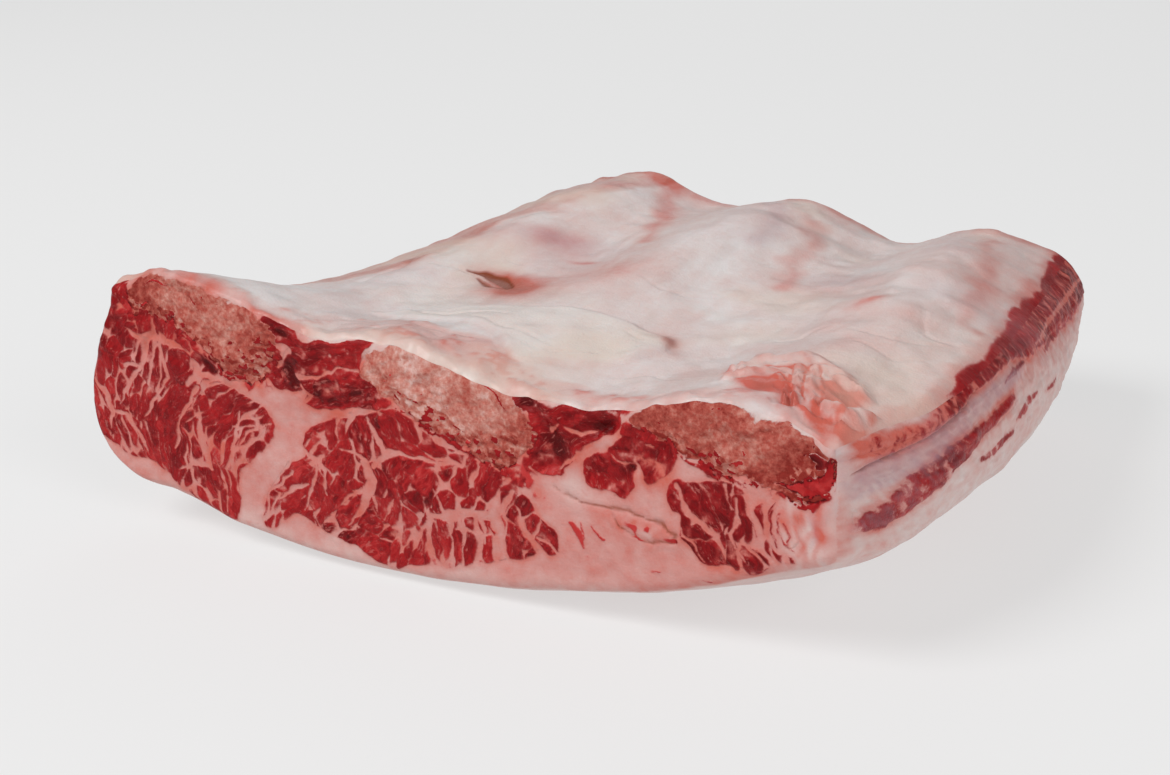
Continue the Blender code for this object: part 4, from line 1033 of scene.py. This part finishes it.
def triangles(ring, lines, inner):
    """The places of a closed ring, of further lines and of loose points, and triangles between them that
    keep every line."""
    numbers, places, edges = {}, [], []
    for line, closed in [(ring, True)] + [(line, False) for line in lines]:
        ids = []
        for p in line:
            key = (round(float(p[0]), 5), round(float(p[1]), 5))
            if key not in numbers:
                numbers[key] = len(places)
                places.append((float(p[0]), float(p[1])))
            ids.append(numbers[key])
        if closed:
            ids.append(ids[0])
        edges += [pair for pair in zip(ids, ids[1:]) if pair[0] != pair[1]]
    places = places + [tuple(p) for p in inner]
    found = delaunay_2d_cdt([Vector(p) for p in places], edges, [], 1, 1e-7)
    if len(found[0]) != len(places):
        raise ValueError("lines cross or points coincide: %d %d" % (len(places), len(found[0])))
    back = np.array([kept[0] for kept in found[3]])
    return np.array(places), back[np.array(found[2])]


FIELDS = ("lean", "bone", "blood", "blush", "stain", "chill")
GRAIN = ("grain_x", "grain_y", "grain_z")
HIDDEN = dict(dict.fromkeys(FIELDS + GRAIN, 0.0), lean=-3.0, bone=NOWHERE, blood=0.4, blush=0.6)


class Sheet:
    """Places (s, t, share) with what they show, and triangles between them. out is how far each is pushed
    out through the side, the top and the cut, and layer keeps places apart that lie at the same spot."""

    def __init__(self, places, faces, fields=HIDDEN, out=(0.0, 0.0, 0.0), sink=MEMBRANE):
        count = len(places)
        self.places, self.faces = np.asarray(places, float), np.asarray(faces)
        self.fields = {name: np.broadcast_to(fields[name], count) for name in FIELDS + GRAIN}
        self.out = np.column_stack([np.broadcast_to(o, count) for o in out])
        self.sink, self.layer = np.broadcast_to(sink, count), np.zeros(count)

    def part(self, keep, flip=False):
        """The sheet of the faces to keep, turned inside out if flip is true."""
        used, again = np.unique(self.faces[keep], return_inverse=True)
        again = again.reshape(-1, 3)
        made = Sheet(self.places[used], again[:, ::-1] if flip else again,
                     {name: value[used] for name, value in self.fields.items()}, sink=self.sink[used])
        made.out, made.layer = self.out[used], self.layer[used]
        return made


SHIFT = np.array((SIDE_SHIFT, -DEPTH / 2.0, 0.0))
SHARP = 72.0  # edges steeper than this many degrees stay sharp


def piece(name, sheets, slot, *nodes):
    """One closed mesh from sheets that share their borders, in place of those nodes."""
    starts = np.cumsum([0] + [len(sheet.places) for sheet in sheets])
    faces = np.vstack([sheet.faces + start for sheet, start in zip(sheets, starts)])
    places, out, sink, layer = (
        np.concatenate([getattr(sheet, what) for sheet in sheets])
        for what in ("places", "out", "sink", "layer")
    )
    key = np.round(np.column_stack([places, sink, layer]), 6)
    _, first, again = np.unique(key, axis=0, return_index=True, return_inverse=True)
    faces = again.ravel()[faces]
    faces = faces[(faces != np.roll(faces, 1, axis=1)).all(axis=1)]
    points = slab(*places[first].T, sink[first], *out[first].T)
    mesh = bpy.data.meshes.new(name)
    mesh.from_pydata(((points + SHIFT) * MM).tolist(), [], faces.tolist())
    shown = {field: np.concatenate([sheet.fields[field] for sheet in sheets])[first].astype(np.float32)
             for field in FIELDS + GRAIN}
    for field in FIELDS:
        mesh.attributes.new(field, "FLOAT", "POINT").data.foreach_set("value", shown[field])
    grain = np.column_stack([shown[field] for field in GRAIN]).ravel()
    mesh.attributes.new("grain", "FLOAT_VECTOR", "POINT").data.foreach_set("vector", grain)
    mesh.shade_smooth()
    mesh.set_sharp_from_angle(angle=math.radians(SHARP))
    made = bpy.data.objects.new(name, mesh)
    bpy.context.scene.collection.objects.link(made)
    mesh.materials.append(MATERIALS[slot])
    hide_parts(*nodes)
    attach(made, "root")
    return made


def with_values(steps, *values):
    """Even steps from 0 to 1 that also hit these values."""
    base = np.linspace(0.0, 1.0, steps + 1)
    for value in values:
        base = base[(np.abs(base - value) > 0.3 / steps) | (base == 0.0) | (base == 1.0)]
    return np.sort(np.r_[base, values])


def muscle_outline(name):
    return evenly(rounded(MUSCLES[name], 12), 0.6)


def draw_outlines():
    """Every outline on the cut as (s, t) places, closed but for the left muscle, which ends at the side."""
    found = {name: np.column_stack(front_place(*evenly(outline, 0.7).T)) for name, outline in BONES.items()}
    found |= {name: np.column_stack(front_place(*muscle_outline(name).T)) for name in MUSCLES}
    left = found["muscle_left"]
    first = np.flatnonzero((left[:, 0] > 0.0) & (np.roll(left[:, 0], 1) <= 0.0))[0]
    left = np.roll(left, 1 - first, axis=0)  # begins with the last place outside
    stop = np.flatnonzero(left[1:, 0] <= 0.0)[0] + 1
    ends = []
    for p, q in ((left[0], left[1]), (left[stop], left[stop - 1])):
        u = -p[0] / (q[0] - p[0])
        ends.append((0.0, p[1] + (q[1] - p[1]) * u))
    found["muscle_left"] = np.vstack([ends[:1], left[1:stop], ends[1:]])
    return found


def around(across, right, left):
    """A closed ring round a sheet from 0 to 1: across are the steps along its bottom and top, right and
    left those up its sides."""
    sides = ((across, 0.0), (1.0, right), (across[::-1], 1.0), (0.0, left[::-1]))
    return np.vstack([np.column_stack(np.broadcast_arrays(a, b))[:-1] for a, b in sides])


OUTLINES = draw_outlines()
LEFT_OPEN = sorted((OUTLINES["muscle_left"][0, 1], OUTLINES["muscle_left"][-1, 1]))
EDGE_S = np.linspace(0.0, 1.0, 361)  # steps along the slab's long and short edges
EDGE_H = np.linspace(0.0, 1.0, 191)
EDGE_LEFT = with_values(112, *LEFT_OPEN)
EDGE_RIGHT = with_values(112, BAND_EDGE[0], BAND_EDGE[-1])
PLAN = np.array((228.0, DEPTH))
PLAN_RING = around(EDGE_S, EDGE_H, EDGE_H) * PLAN
CUT_BOX = (FRONT_WIDTH, FRONT_HEIGHT)


def build_cap(share, fine, coarse, seed):
    """One cut of the slab as sheets: the fat's, and each bone's and muscle's."""
    ring = around(EDGE_S, EDGE_RIGHT, EDGE_LEFT)
    lines = [np.vstack([o, o[:1]]) if name != "muscle_left" else o for name, o in OUTLINES.items()]
    flat = [front_point(*line.T) for line in [ring] + lines]
    low, high = flat[0].min(0), flat[0].max(0)
    inner = []
    for spacing, dense in ((fine, True), (coarse, False)):
        p = loose(low, high, spacing, 700 + seed + dense)
        s, t = front_place(*p.T)
        p = p[border_gap(s * FRONT_WIDTH, t * FRONT_HEIGHT, CUT_BOX) > 0.5 * spacing]
        busy = deepest(*p.T, LEAN + BETWEEN + BONE_FACES)
        p = p[busy > -1.0] if dense else p[busy < -1.0 - 0.5 * spacing]
        off = np.minimum.reduce([np.abs(inside(*p.T, line)) for line in flat[1:]])
        inner.append(p[off > 0.5 * spacing])
    inner = np.vstack(inner)
    places, faces = triangles(flat[0], flat[1:], inner)
    s, t = front_place(*places.T)
    known = {(round(x, 5), round(z, 5)): (a, b)
             for line, on in zip(flat, [ring] + lines) for (x, z), (a, b) in zip(line.tolist(), on.tolist())}
    for i, (x, z) in enumerate(places[:len(places) - len(inner)].tolist()):
        s[i], t[i] = known[(round(x, 5), round(z, 5))]
    low_z, high_z = heights(s, 0.0)
    tall = high_z - MEMBRANE - low_z
    fields = cut_fields(*places.T, (1.0 - t) * tall, seed)
    gap = np.minimum.reduce([s * FRONT_WIDTH, (1.0 - s) * FRONT_WIDTH, t * tall, (1.0 - t) * tall])
    relief = fields["relief"] * smooth(0.0, 5.0, gap)
    sheet = Sheet(np.column_stack([s, t, np.full(len(s), share)]), faces, fields, (0.0, 0.0, relief))
    middle = places[faces].mean(axis=1)
    parts, rest = {}, np.ones(len(faces), bool)
    for name, line in zip(OUTLINES, flat[1:]):
        outline = muscle_outline(name) if name == "muscle_left" else line[:-1]
        within = inside(*middle.T, outline) > 0.0
        parts[name] = sheet.part(within, flip=share > 0.5)
        rest &= ~within
    parts["fat_body"] = sheet.part(rest, flip=share > 0.5)
    return parts


def strips(count, rows, closed=True):
    """Triangles between rows of that many places each, which follow one another."""
    i = np.arange(count if closed else count - 1)
    k = (i + 1) % count
    faces = []
    for row in range(rows - 1):
        a, b = row * count + i, row * count + k
        faces += [np.column_stack([b, a, a + count]), np.column_stack([b, a + count, b + count])]
    return np.vstack(faces)


def build_tunnel(line, closed, outwards):
    """The wall that a line of the cut sweeps from cut to cut."""
    stations = np.linspace(0.0, 1.0, 9)
    places = np.vstack([np.column_stack([line, np.full(len(line), share)]) for share in stations])
    faces = strips(len(line), len(stations), closed)
    return Sheet(places, faces if outwards else faces[:, ::-1])


def build_side(s, edge, lines, make_fields, spacing, seed):
    """The left (s = 0) or right (s = 1) side as one sheet."""
    lines = [line * SIDE for line in lines]
    inner = loose((0.0, 0.0), SIDE, spacing, seed)
    inner = inner[border_gap(*inner.T, SIDE) > 0.5 * spacing]
    off = strokes(*inner.T, [[(a, b, 0.0) for a, b in line] for line in lines])
    places, faces = triangles(around(EDGE_H, edge, edge) * SIDE, lines, inner[off < -0.5 * spacing])
    share, t = (places / SIDE).T
    fields = make_fields(share, t)
    relief = fields["relief"] * smooth(0.0, 6.0, border_gap(*places.T, SIDE))
    places = np.column_stack([np.full(len(t), s), t, share])
    return Sheet(places, faces if s > 0.5 else faces[:, ::-1], fields, (relief, 0.0, 0.0))


def on_border(side, within):
    """Which places of a side lie on the border of those faces, or on the side's own edges."""
    shared = np.intersect1d(side.faces[within], side.faces[~within])
    edge = np.minimum(side.places[:, 1:], 1.0 - side.places[:, 1:]).min(axis=1) < 1e-9
    return np.isin(np.arange(len(side.places)), shared) | edge


def trimmed(side, within):
    """Those faces but for the ones that have all their corners on the border."""
    return within & ~on_border(side, within)[side.faces].all(axis=1)


def build_inlay(side, within, depth):
    """The skin of a flat muscle in the side, the floor of its bed in the fat, and its underside on it."""
    skin, floor = side.part(within), side.part(within)
    border = on_border(side, within)[np.unique(side.faces[within])]
    on = floor.places[:, 1:] * (SIDE_HEIGHT, DEPTH)
    off = np.array([np.hypot(*(on[border] - p).T).min() for p in on])
    floor.out[:, 0] -= np.where(border, 0.0, depth * smooth(-0.5, 5.0, off))
    floor.layer = np.where(border, 0, 1)
    under = Sheet(floor.places, floor.faces[:, ::-1], floor.fields)
    under.out, under.layer = floor.out, floor.layer
    return skin, floor, under


def plan_grid(places, t):
    """The (s, share) of places of the plan, and the x and y where they lie at that height."""
    s, share = (places / PLAN).T
    on = drifted(s, share)
    return s, share, left_x(t, share) * (1.0 - on) + right_x(t, share) * on, share * DEPTH


def build_plan(t, spacing, seed, make_fields=None):
    """A sheet over the whole plan: one hidden under the membrane, or the underside if it has fields."""
    inner = loose((0.0, 0.0), PLAN, spacing, seed)
    places, faces = triangles(PLAN_RING, [], inner[border_gap(*inner.T, PLAN) > 0.5 * spacing])
    s, share, x, y = plan_grid(places, t)
    places = np.column_stack([s, np.full(len(s), t), share])
    if make_fields is None:
        return Sheet(places, faces)
    fields = make_fields(x, y)
    return Sheet(places, faces[:, ::-1], fields, (0.0, fields["relief"], 0.0))


def flat_muscle_edges():
    """The lower edge of the upper band, and the outline of the flat muscle, as shares of the right side."""
    band = np.column_stack([EDGE_H, along(BAND_EDGE, EDGE_H)])
    run = np.linspace(*FLANK_REACH, 80)
    flank = np.vstack([
        np.column_stack([run, along(FLANK_LOW, run)]), np.column_stack([run, along(FLANK_HIGH, run)])[::-1],
    ])
    return band, evenly(flank * SIDE, 1.2) / SIDE


def build_all():
    front, back = build_cap(0.0, 0.35, 0.62, 0), build_cap(1.0, 0.62, 0.95, 1000)
    open_lines = [np.column_stack([EDGE_H, np.full(len(EDGE_H), t)]) for t in LEFT_OPEN]
    left = build_side(0.0, EDGE_LEFT, open_lines, left_fields, 1.15, 720)
    low, high = LEFT_OPEN
    height = left.places[left.faces].mean(axis=1)[:, 1]
    in_left = (height > low) & (height < high)

    band_edge, flank = flat_muscle_edges()
    right = build_side(1.0, EDGE_RIGHT, [band_edge, np.vstack([flank, flank[:1]])], right_fields, 0.95, 730)
    _, t, share = right.places[right.faces].mean(axis=1).T
    in_band = trimmed(right, t > np.interp(share, *band_edge.T))
    in_flank = trimmed(right, inside(share * DEPTH, t * SIDE_HEIGHT, flank * SIDE) > 0.0)
    band, strap = build_inlay(right, in_band, BAND_DEPTH), build_inlay(right, in_flank, FLANK_DEPTH)
    under, hidden = build_plan(0.0, 2.6, 740, belly_fields), build_plan(1.0, 5.0, 750)

    fat = [front["fat_body"], back["fat_body"], right.part(~in_band & ~in_flank), band[1], strap[1],
           left.part(~in_left), under, hidden]
    for name, line in OUTLINES.items():
        closed = name != "muscle_left"
        fat.append(build_tunnel(line, closed, False))
        own = [front[name], back[name], build_tunnel(line, closed, True)]
        if not closed:
            own.append(left.part(in_left))
        piece(name + "_look", own, "bone" if "bone" in name else "muscle", name)
    piece("fat_body_look", fat, "fat", "fat_body")
    piece("intercostal_right_look", [band[0], band[2]], "muscle", "intercostal_right")
    piece("flank_band_look", [strap[0], strap[2]], "muscle", "flank_band")
    build_membrane(hidden)


def build_membrane(hidden):
    """The membrane, finely meshed about the lump and the dent, with its rim and the underside that lies on
    the meat."""
    inner = []
    for spacing, dense in ((0.5, True), (1.0, False)):
        p = loose((0.0, 0.0), PLAN, spacing, 760 + dense)
        p = p[border_gap(*p.T, PLAN) > 0.5 * spacing]
        _, _, x, y = plan_grid(p, 1.0)
        fine = np.zeros(len(p), bool)
        for (mx, my), (long, wide) in (LUMP_FINE, DENT_FINE):
            fine |= np.hypot((x - mx) / long, (y - my) / wide) < 1.0
        inner.append(p[fine == dense])
    places, faces = triangles(PLAN_RING, [], np.vstack(inner))
    s, share, x, y = plan_grid(places, 1.0)
    fields = top_fields(x, y)
    relief = fields["relief"] * smooth(0.0, 3.0, border_gap(*places.T, PLAN))
    top = Sheet(np.column_stack([s, np.ones(len(s)), share]), faces, fields, (0.0, relief, 0.0), sink=0.0)
    count, sinks = len(PLAN_RING), (0.0, 0.5, 1.05, MEMBRANE)
    rows = np.tile(top.places[:count], (len(sinks), 1))
    rim_fields = {name: np.tile(top.fields[name][:count], len(sinks)) for name in FIELDS + GRAIN}
    rim = Sheet(rows, strips(count, len(sinks)), rim_fields, sink=np.repeat(sinks, count))
    piece("membrane_look", [top, rim, Sheet(hidden.places, hidden.faces[:, ::-1])], "membrane", "membrane")


# ---- materials --------------------------------------------------------------------------------------------
class Signal:
    """A shader's socket that can be written in sums."""

    def __init__(self, shader, socket):
        self.shader, self.socket = shader, socket

    def combine(self, operation, *others):
        return self.shader.node("ShaderNodeMath", {"operation": operation}, *others)

    def __add__(self, other):
        return self.combine("ADD", self, other)

    __radd__ = __add__

    def __sub__(self, other):
        return self.combine("SUBTRACT", self, other)

    def __rsub__(self, other):
        return self.combine("SUBTRACT", other, self)

    def __mul__(self, other):
        return self.combine("MULTIPLY", self, other)

    __rmul__ = __mul__

    def step(self, low, high):
        """0 below low, 1 above high, smooth between."""
        return self.shader.node("ShaderNodeMapRange", {"interpolation_type": "SMOOTHSTEP"}, self, low, high)

    def clamp(self):
        return self.shader.node("ShaderNodeClamp", {}, self)


class Shader:
    """A material's tree."""

    def __init__(self, name):
        self.material = bpy.data.materials.new(name)
        self.material.use_nodes = True
        self.tree = self.material.node_tree
        self.surface = self.tree.nodes["Principled BSDF"]

    def feed(self, socket, value):
        if isinstance(value, Signal):
            self.tree.links.new(value.socket, socket)
        else:
            socket.default_value = value

    def node(self, kind, settings, *inputs, output=0, **named):
        made = self.tree.nodes.new(kind)
        for name, value in settings.items():
            setattr(made, name, value)
        for socket, value in zip(made.inputs, inputs):
            self.feed(socket, value)
        for name, value in named.items():
            self.feed(made.inputs[name.replace("_", " ")], value)
        return Signal(self, made.outputs[output])

    def attribute(self, name, output="Fac"):
        return self.node("ShaderNodeAttribute", {"attribute_name": name}, output=output)

    def mix(self, share, first, second):
        made = self.tree.nodes.new("ShaderNodeMix")
        made.data_type = "RGBA"
        for socket, value in zip((made.inputs[0], made.inputs[6], made.inputs[7]), (share, first, second)):
            self.feed(socket, value if isinstance(value, (Signal, float)) else (*value, 1.0))
        return Signal(self, made.outputs[2])

    def ramp(self, share, *stops):
        """Colours at places from 0 to 1."""
        made = self.tree.nodes.new("ShaderNodeValToRGB")
        elements = made.color_ramp.elements
        while len(elements) < len(stops):
            elements.new(0.5)
        for element, (place, colour) in zip(elements, stops):
            element.position, element.color = place, (*colour, 1.0)
        self.feed(made.inputs[0], share)
        return Signal(self, made.outputs[0])

    def grains(self, size, place=None, detail=3.0, roughness=0.5):
        """Noise from 0 to 1 of about this size in millimetres, at a place in millimetres or on the object."""
        where = place or self.node("ShaderNodeTexCoord", {}, output="Object")
        unit = 1.0 if place else MM
        return self.node("ShaderNodeTexNoise", {}, Vector=where, Scale=1.0 / (size * unit), Detail=detail,
                         Roughness=roughness)

    def stretched(self, vector, by):
        """The vector with its first part scaled by this."""
        return self.node("ShaderNodeVectorMath", {"operation": "MULTIPLY"}, vector, (by, 1.0, 1.0))


FAT = ((0.0, (0.67, 0.61, 0.60)), (0.28, (0.62, 0.475, 0.45)), (0.52, (0.60, 0.37, 0.34)),
       (0.78, (0.56, 0.24, 0.212)), (1.0, (0.54, 0.115, 0.082)))  # from the palest to the pinkest
FLESH = ((0.0, (0.50, 0.040, 0.038)), (0.30, (0.33, 0.009, 0.011)), (0.62, (0.195, 0.003, 0.005)),
         (1.0, (0.085, 0.0010, 0.0018)))  # from the brightest to the darkest
MARROW = ((0.0, (0.24, 0.022, 0.016)), (0.32, (0.41, 0.085, 0.062)), (0.62, (0.53, 0.21, 0.165)),
          (1.0, (0.67, 0.43, 0.385)))  # from the bloodiest to the palest
# Dark brown for stains, and for shade painted in the membrane's pockets, folds and dent and along the flap
STAIN_AND_SHADE = (0.22, 0.050, 0.022)
# The second colour is a pale red painted over the lean as small wet highlights.
SINEW, PAINTED_GLINT = (0.52, 0.13, 0.11), (0.58, 0.17, 0.145)
FAT_BY_LEAN, LEAN_BY_FAT = (0.55, 0.15, 0.13), (0.46, 0.045, 0.042)
COLD, WARM = (0.38, 0.235, 0.27), (0.66, 0.545, 0.46)
WET_COAT = 0.05
SAME_FOR_ALL = {
    "Coat Roughness": 0.24, "Coat IOR": 1.36, "IOR": 1.40, "Specular IOR Level": 0.14,
    "Subsurface Weight": 0.08, "Subsurface Scale": 0.0015, "Subsurface Radius": (1.0, 0.35, 0.25),
}


def fat_colour(shader, blush, stain, fine, middle, broad):
    blush = blush + (middle - 0.5) * 0.16 + (fine - 0.5) * 0.12 + (broad - 0.5) * 0.14
    fat = shader.ramp(blush.clamp(), *FAT)
    return shader.mix((stain + (middle - 0.5) * 0.5 * stain).clamp(), fat, STAIN_AND_SHADE)


def flesh_colour(shader, blood, fibre, grain, broad):
    flesh = shader.ramp(blood.clamp(), *FLESH)
    flesh = shader.mix((fibre.step(0.60, 0.80) * 0.24).clamp(), flesh, SINEW)
    # Painted highlights: small pale specks over the lean stand in for wet glints.
    flecks = shader.grains(1.0, shader.stretched(grain, 0.45), roughness=0.65) + (broad - 0.5) * 0.35
    return shader.mix(flecks.step(0.57, 0.70) * 0.40, flesh, PAINTED_GLINT)


def marrow_colour(shader, blood, pores, middle, broad):
    where = shader.node("ShaderNodeTexCoord", {}, output="Object")
    crumbs = shader.node("ShaderNodeTexVoronoi", {}, Vector=where, Scale=1.0 / (1.7 * MM))
    pale = (pores - 0.5) * 0.85 + (middle - 0.5) * 1.1 + (broad - 0.5) * 0.9 + (crumbs - 0.4) * 0.22
    return shader.ramp((pale + 0.80 - blood * 0.75).clamp(), *MARROW)


def tissue(name, gloss, coat):
    """Raw tissue: fat or membrane by its blush, lean where lean is above 0, bone where bone is."""
    shader = Shader(name)
    lean, bone, blood, blush, stain, chill = (shader.attribute(field) for field in FIELDS)
    fine, middle, broad = shader.grains(0.7), shader.grains(2.4), shader.grains(9.0)
    grain = shader.attribute("grain", "Vector")
    fibre = shader.grains(0.6, shader.stretched(grain, 0.22), roughness=0.6)
    fat = fat_colour(shader, blush, stain, fine, middle, broad)
    blood = blood + (fibre - 0.5) * 0.50 + (middle - 0.5) * 0.30
    flesh = flesh_colour(shader, blood, fibre, grain, broad)
    edge = lean + (fine - 0.5) * 0.40
    fat = shader.mix(edge.step(-0.9, -0.05) * 0.29, fat, FAT_BY_LEAN)
    flesh = shader.mix(edge.step(0.50, 0.05) * 0.32, flesh, LEAN_BY_FAT)
    colour = shader.mix(edge.step(-0.24, 0.20), fat, flesh)
    colour = shader.mix((chill * 0.5).clamp(), colour, COLD)
    colour = shader.mix((chill * (-0.55)).clamp() * edge.step(0.0, -0.3), colour, WARM)
    pores = shader.grains(0.9, detail=4.0, roughness=0.7)
    marrow = marrow_colour(shader, blood, pores, middle, broad)
    colour = shader.mix((bone + (fine - 0.5) * 0.9).step(-0.25, 0.35), colour, marrow)

    wet, sawn = lean.step(-0.3, 0.3), bone.step(-0.2, 0.2)
    rough_share = gloss + (middle - 0.5) * 0.24 + sawn * 0.12
    film = coat + wet * (WET_COAT - coat) + (broad - 0.5) * 0.4 * coat - sawn * coat
    height = fine * 0.35 + middle * 0.45 + fibre * wet * 0.8 + pores * sawn * 1.2
    normal = shader.node("ShaderNodeBump", {}, Strength=0.65, Distance=0.0006, Height=height)
    shown = {"Base Color": colour, "Roughness": rough_share, "Coat Weight": film.clamp(), "Normal": normal}
    for socket, value in (SAME_FOR_ALL | shown).items():
        shader.feed(shader.surface.inputs[socket], value)
    return shader.material


MATERIALS = {
    "fat": tissue("moist fat", 0.42, 0.12),
    "membrane": tissue("moist membrane", 0.36, 0.22),
    "bone": tissue("sawn bone", 0.46, 0.08),
    "muscle": tissue("raw lean", 0.38, 0.10),
}

build_all()


# ---- camera, floor and light ------------------------------------------------------------------------------
PHOTO_WIDTH, FOCAL_LENGTH = 1170.0, 1700.0  # both in the photo's pixels
SENSOR_WIDTH = 36.0
CAMERA_PLACE = (0.22043, -0.48574, 0.22186)  # metres
CAMERA_ROUND, CAMERA_UP = 26.0, 20.0  # degrees round from the front, and above the floor
FLOOR_REACH = 6.0
LIGHTS = (  # name, place, target, size and power
    ("key", (-0.9, -1.3, 1.6), (0.0, 0.0, 0.04), 1.0, 33.0),
    ("fill", (1.5, -0.8, 0.9), (0.0, 0.0, 0.04), 1.0, 12.0),
    ("back", (-0.5, 1.5, 1.0), (0.0, 0.0, 0.06), 1.2, 3.5),
)
STUDIO_GLOW = 0.30


def add(name, data, turn, place):
    """An object of the scene, with this turn as a matrix."""
    made = bpy.data.objects.new(name, data)
    made.matrix_world = Matrix.Translation(place) @ turn.to_4x4()
    bpy.context.scene.collection.objects.link(made)
    return made


def add_camera():
    azimuth, elevation = math.radians(CAMERA_ROUND), math.radians(CAMERA_UP)
    back = Vector((math.sin(azimuth) * math.cos(elevation), -math.cos(azimuth) * math.cos(elevation),
                   math.sin(elevation)))
    right = (-back).cross(Vector((0.0, 0.0, 1.0))).normalized()
    turn = Matrix((right, right.cross(-back), back)).transposed()
    camera = bpy.data.cameras.new("camera")
    camera.sensor_width, camera.lens = SENSOR_WIDTH, FOCAL_LENGTH / PHOTO_WIDTH * SENSOR_WIDTH
    camera.clip_start, camera.clip_end = 0.01, 50.0
    bpy.context.scene.camera = add("camera", camera, turn, CAMERA_PLACE)


def add_floor():
    r = FLOOR_REACH
    mesh = bpy.data.meshes.new("floor")
    mesh.from_pydata([(-r, -r, 0), (r, -r, 0), (r, r, 0), (-r, r, 0)], [], [(0, 1, 2, 3)])
    paint = Shader("pale floor")
    for socket, value in (
        ("Base Color", (0.28, 0.28, 0.28, 1.0)), ("Emission Color", (1.0, 1.0, 1.0, 1.0)),
        ("Emission Strength", 0.55), ("Roughness", 0.9), ("Specular IOR Level", 0.1),
    ):
        paint.feed(paint.surface.inputs[socket], value)
    mesh.materials.append(paint.material)
    floor = add("floor", mesh, Matrix.Identity(3), (0.0, 0.0, 0.0))


def add_light(name, place, target, size, power):
    light = bpy.data.lights.new(name, "AREA")
    light.shape, light.size, light.energy = "DISK", size, power
    turn = (Vector(place) - Vector(target)).to_track_quat("Z", "Y").to_matrix()
    add(name, light, turn, place)


def light_the_studio():
    for light in LIGHTS:
        add_light(*light)
    world = bpy.data.worlds.new("studio")
    world.use_nodes = True
    glow = world.node_tree.nodes["Background"]
    glow.inputs["Color"].default_value = (1.0, 1.0, 1.0, 1.0)
    glow.inputs["Strength"].default_value = STUDIO_GLOW
    bpy.context.scene.world = world


add_camera()
add_floor()
light_the_studio()
bpy.context.scene.view_settings.view_transform = "Standard"
bpy.context.scene.view_settings.look = "None"
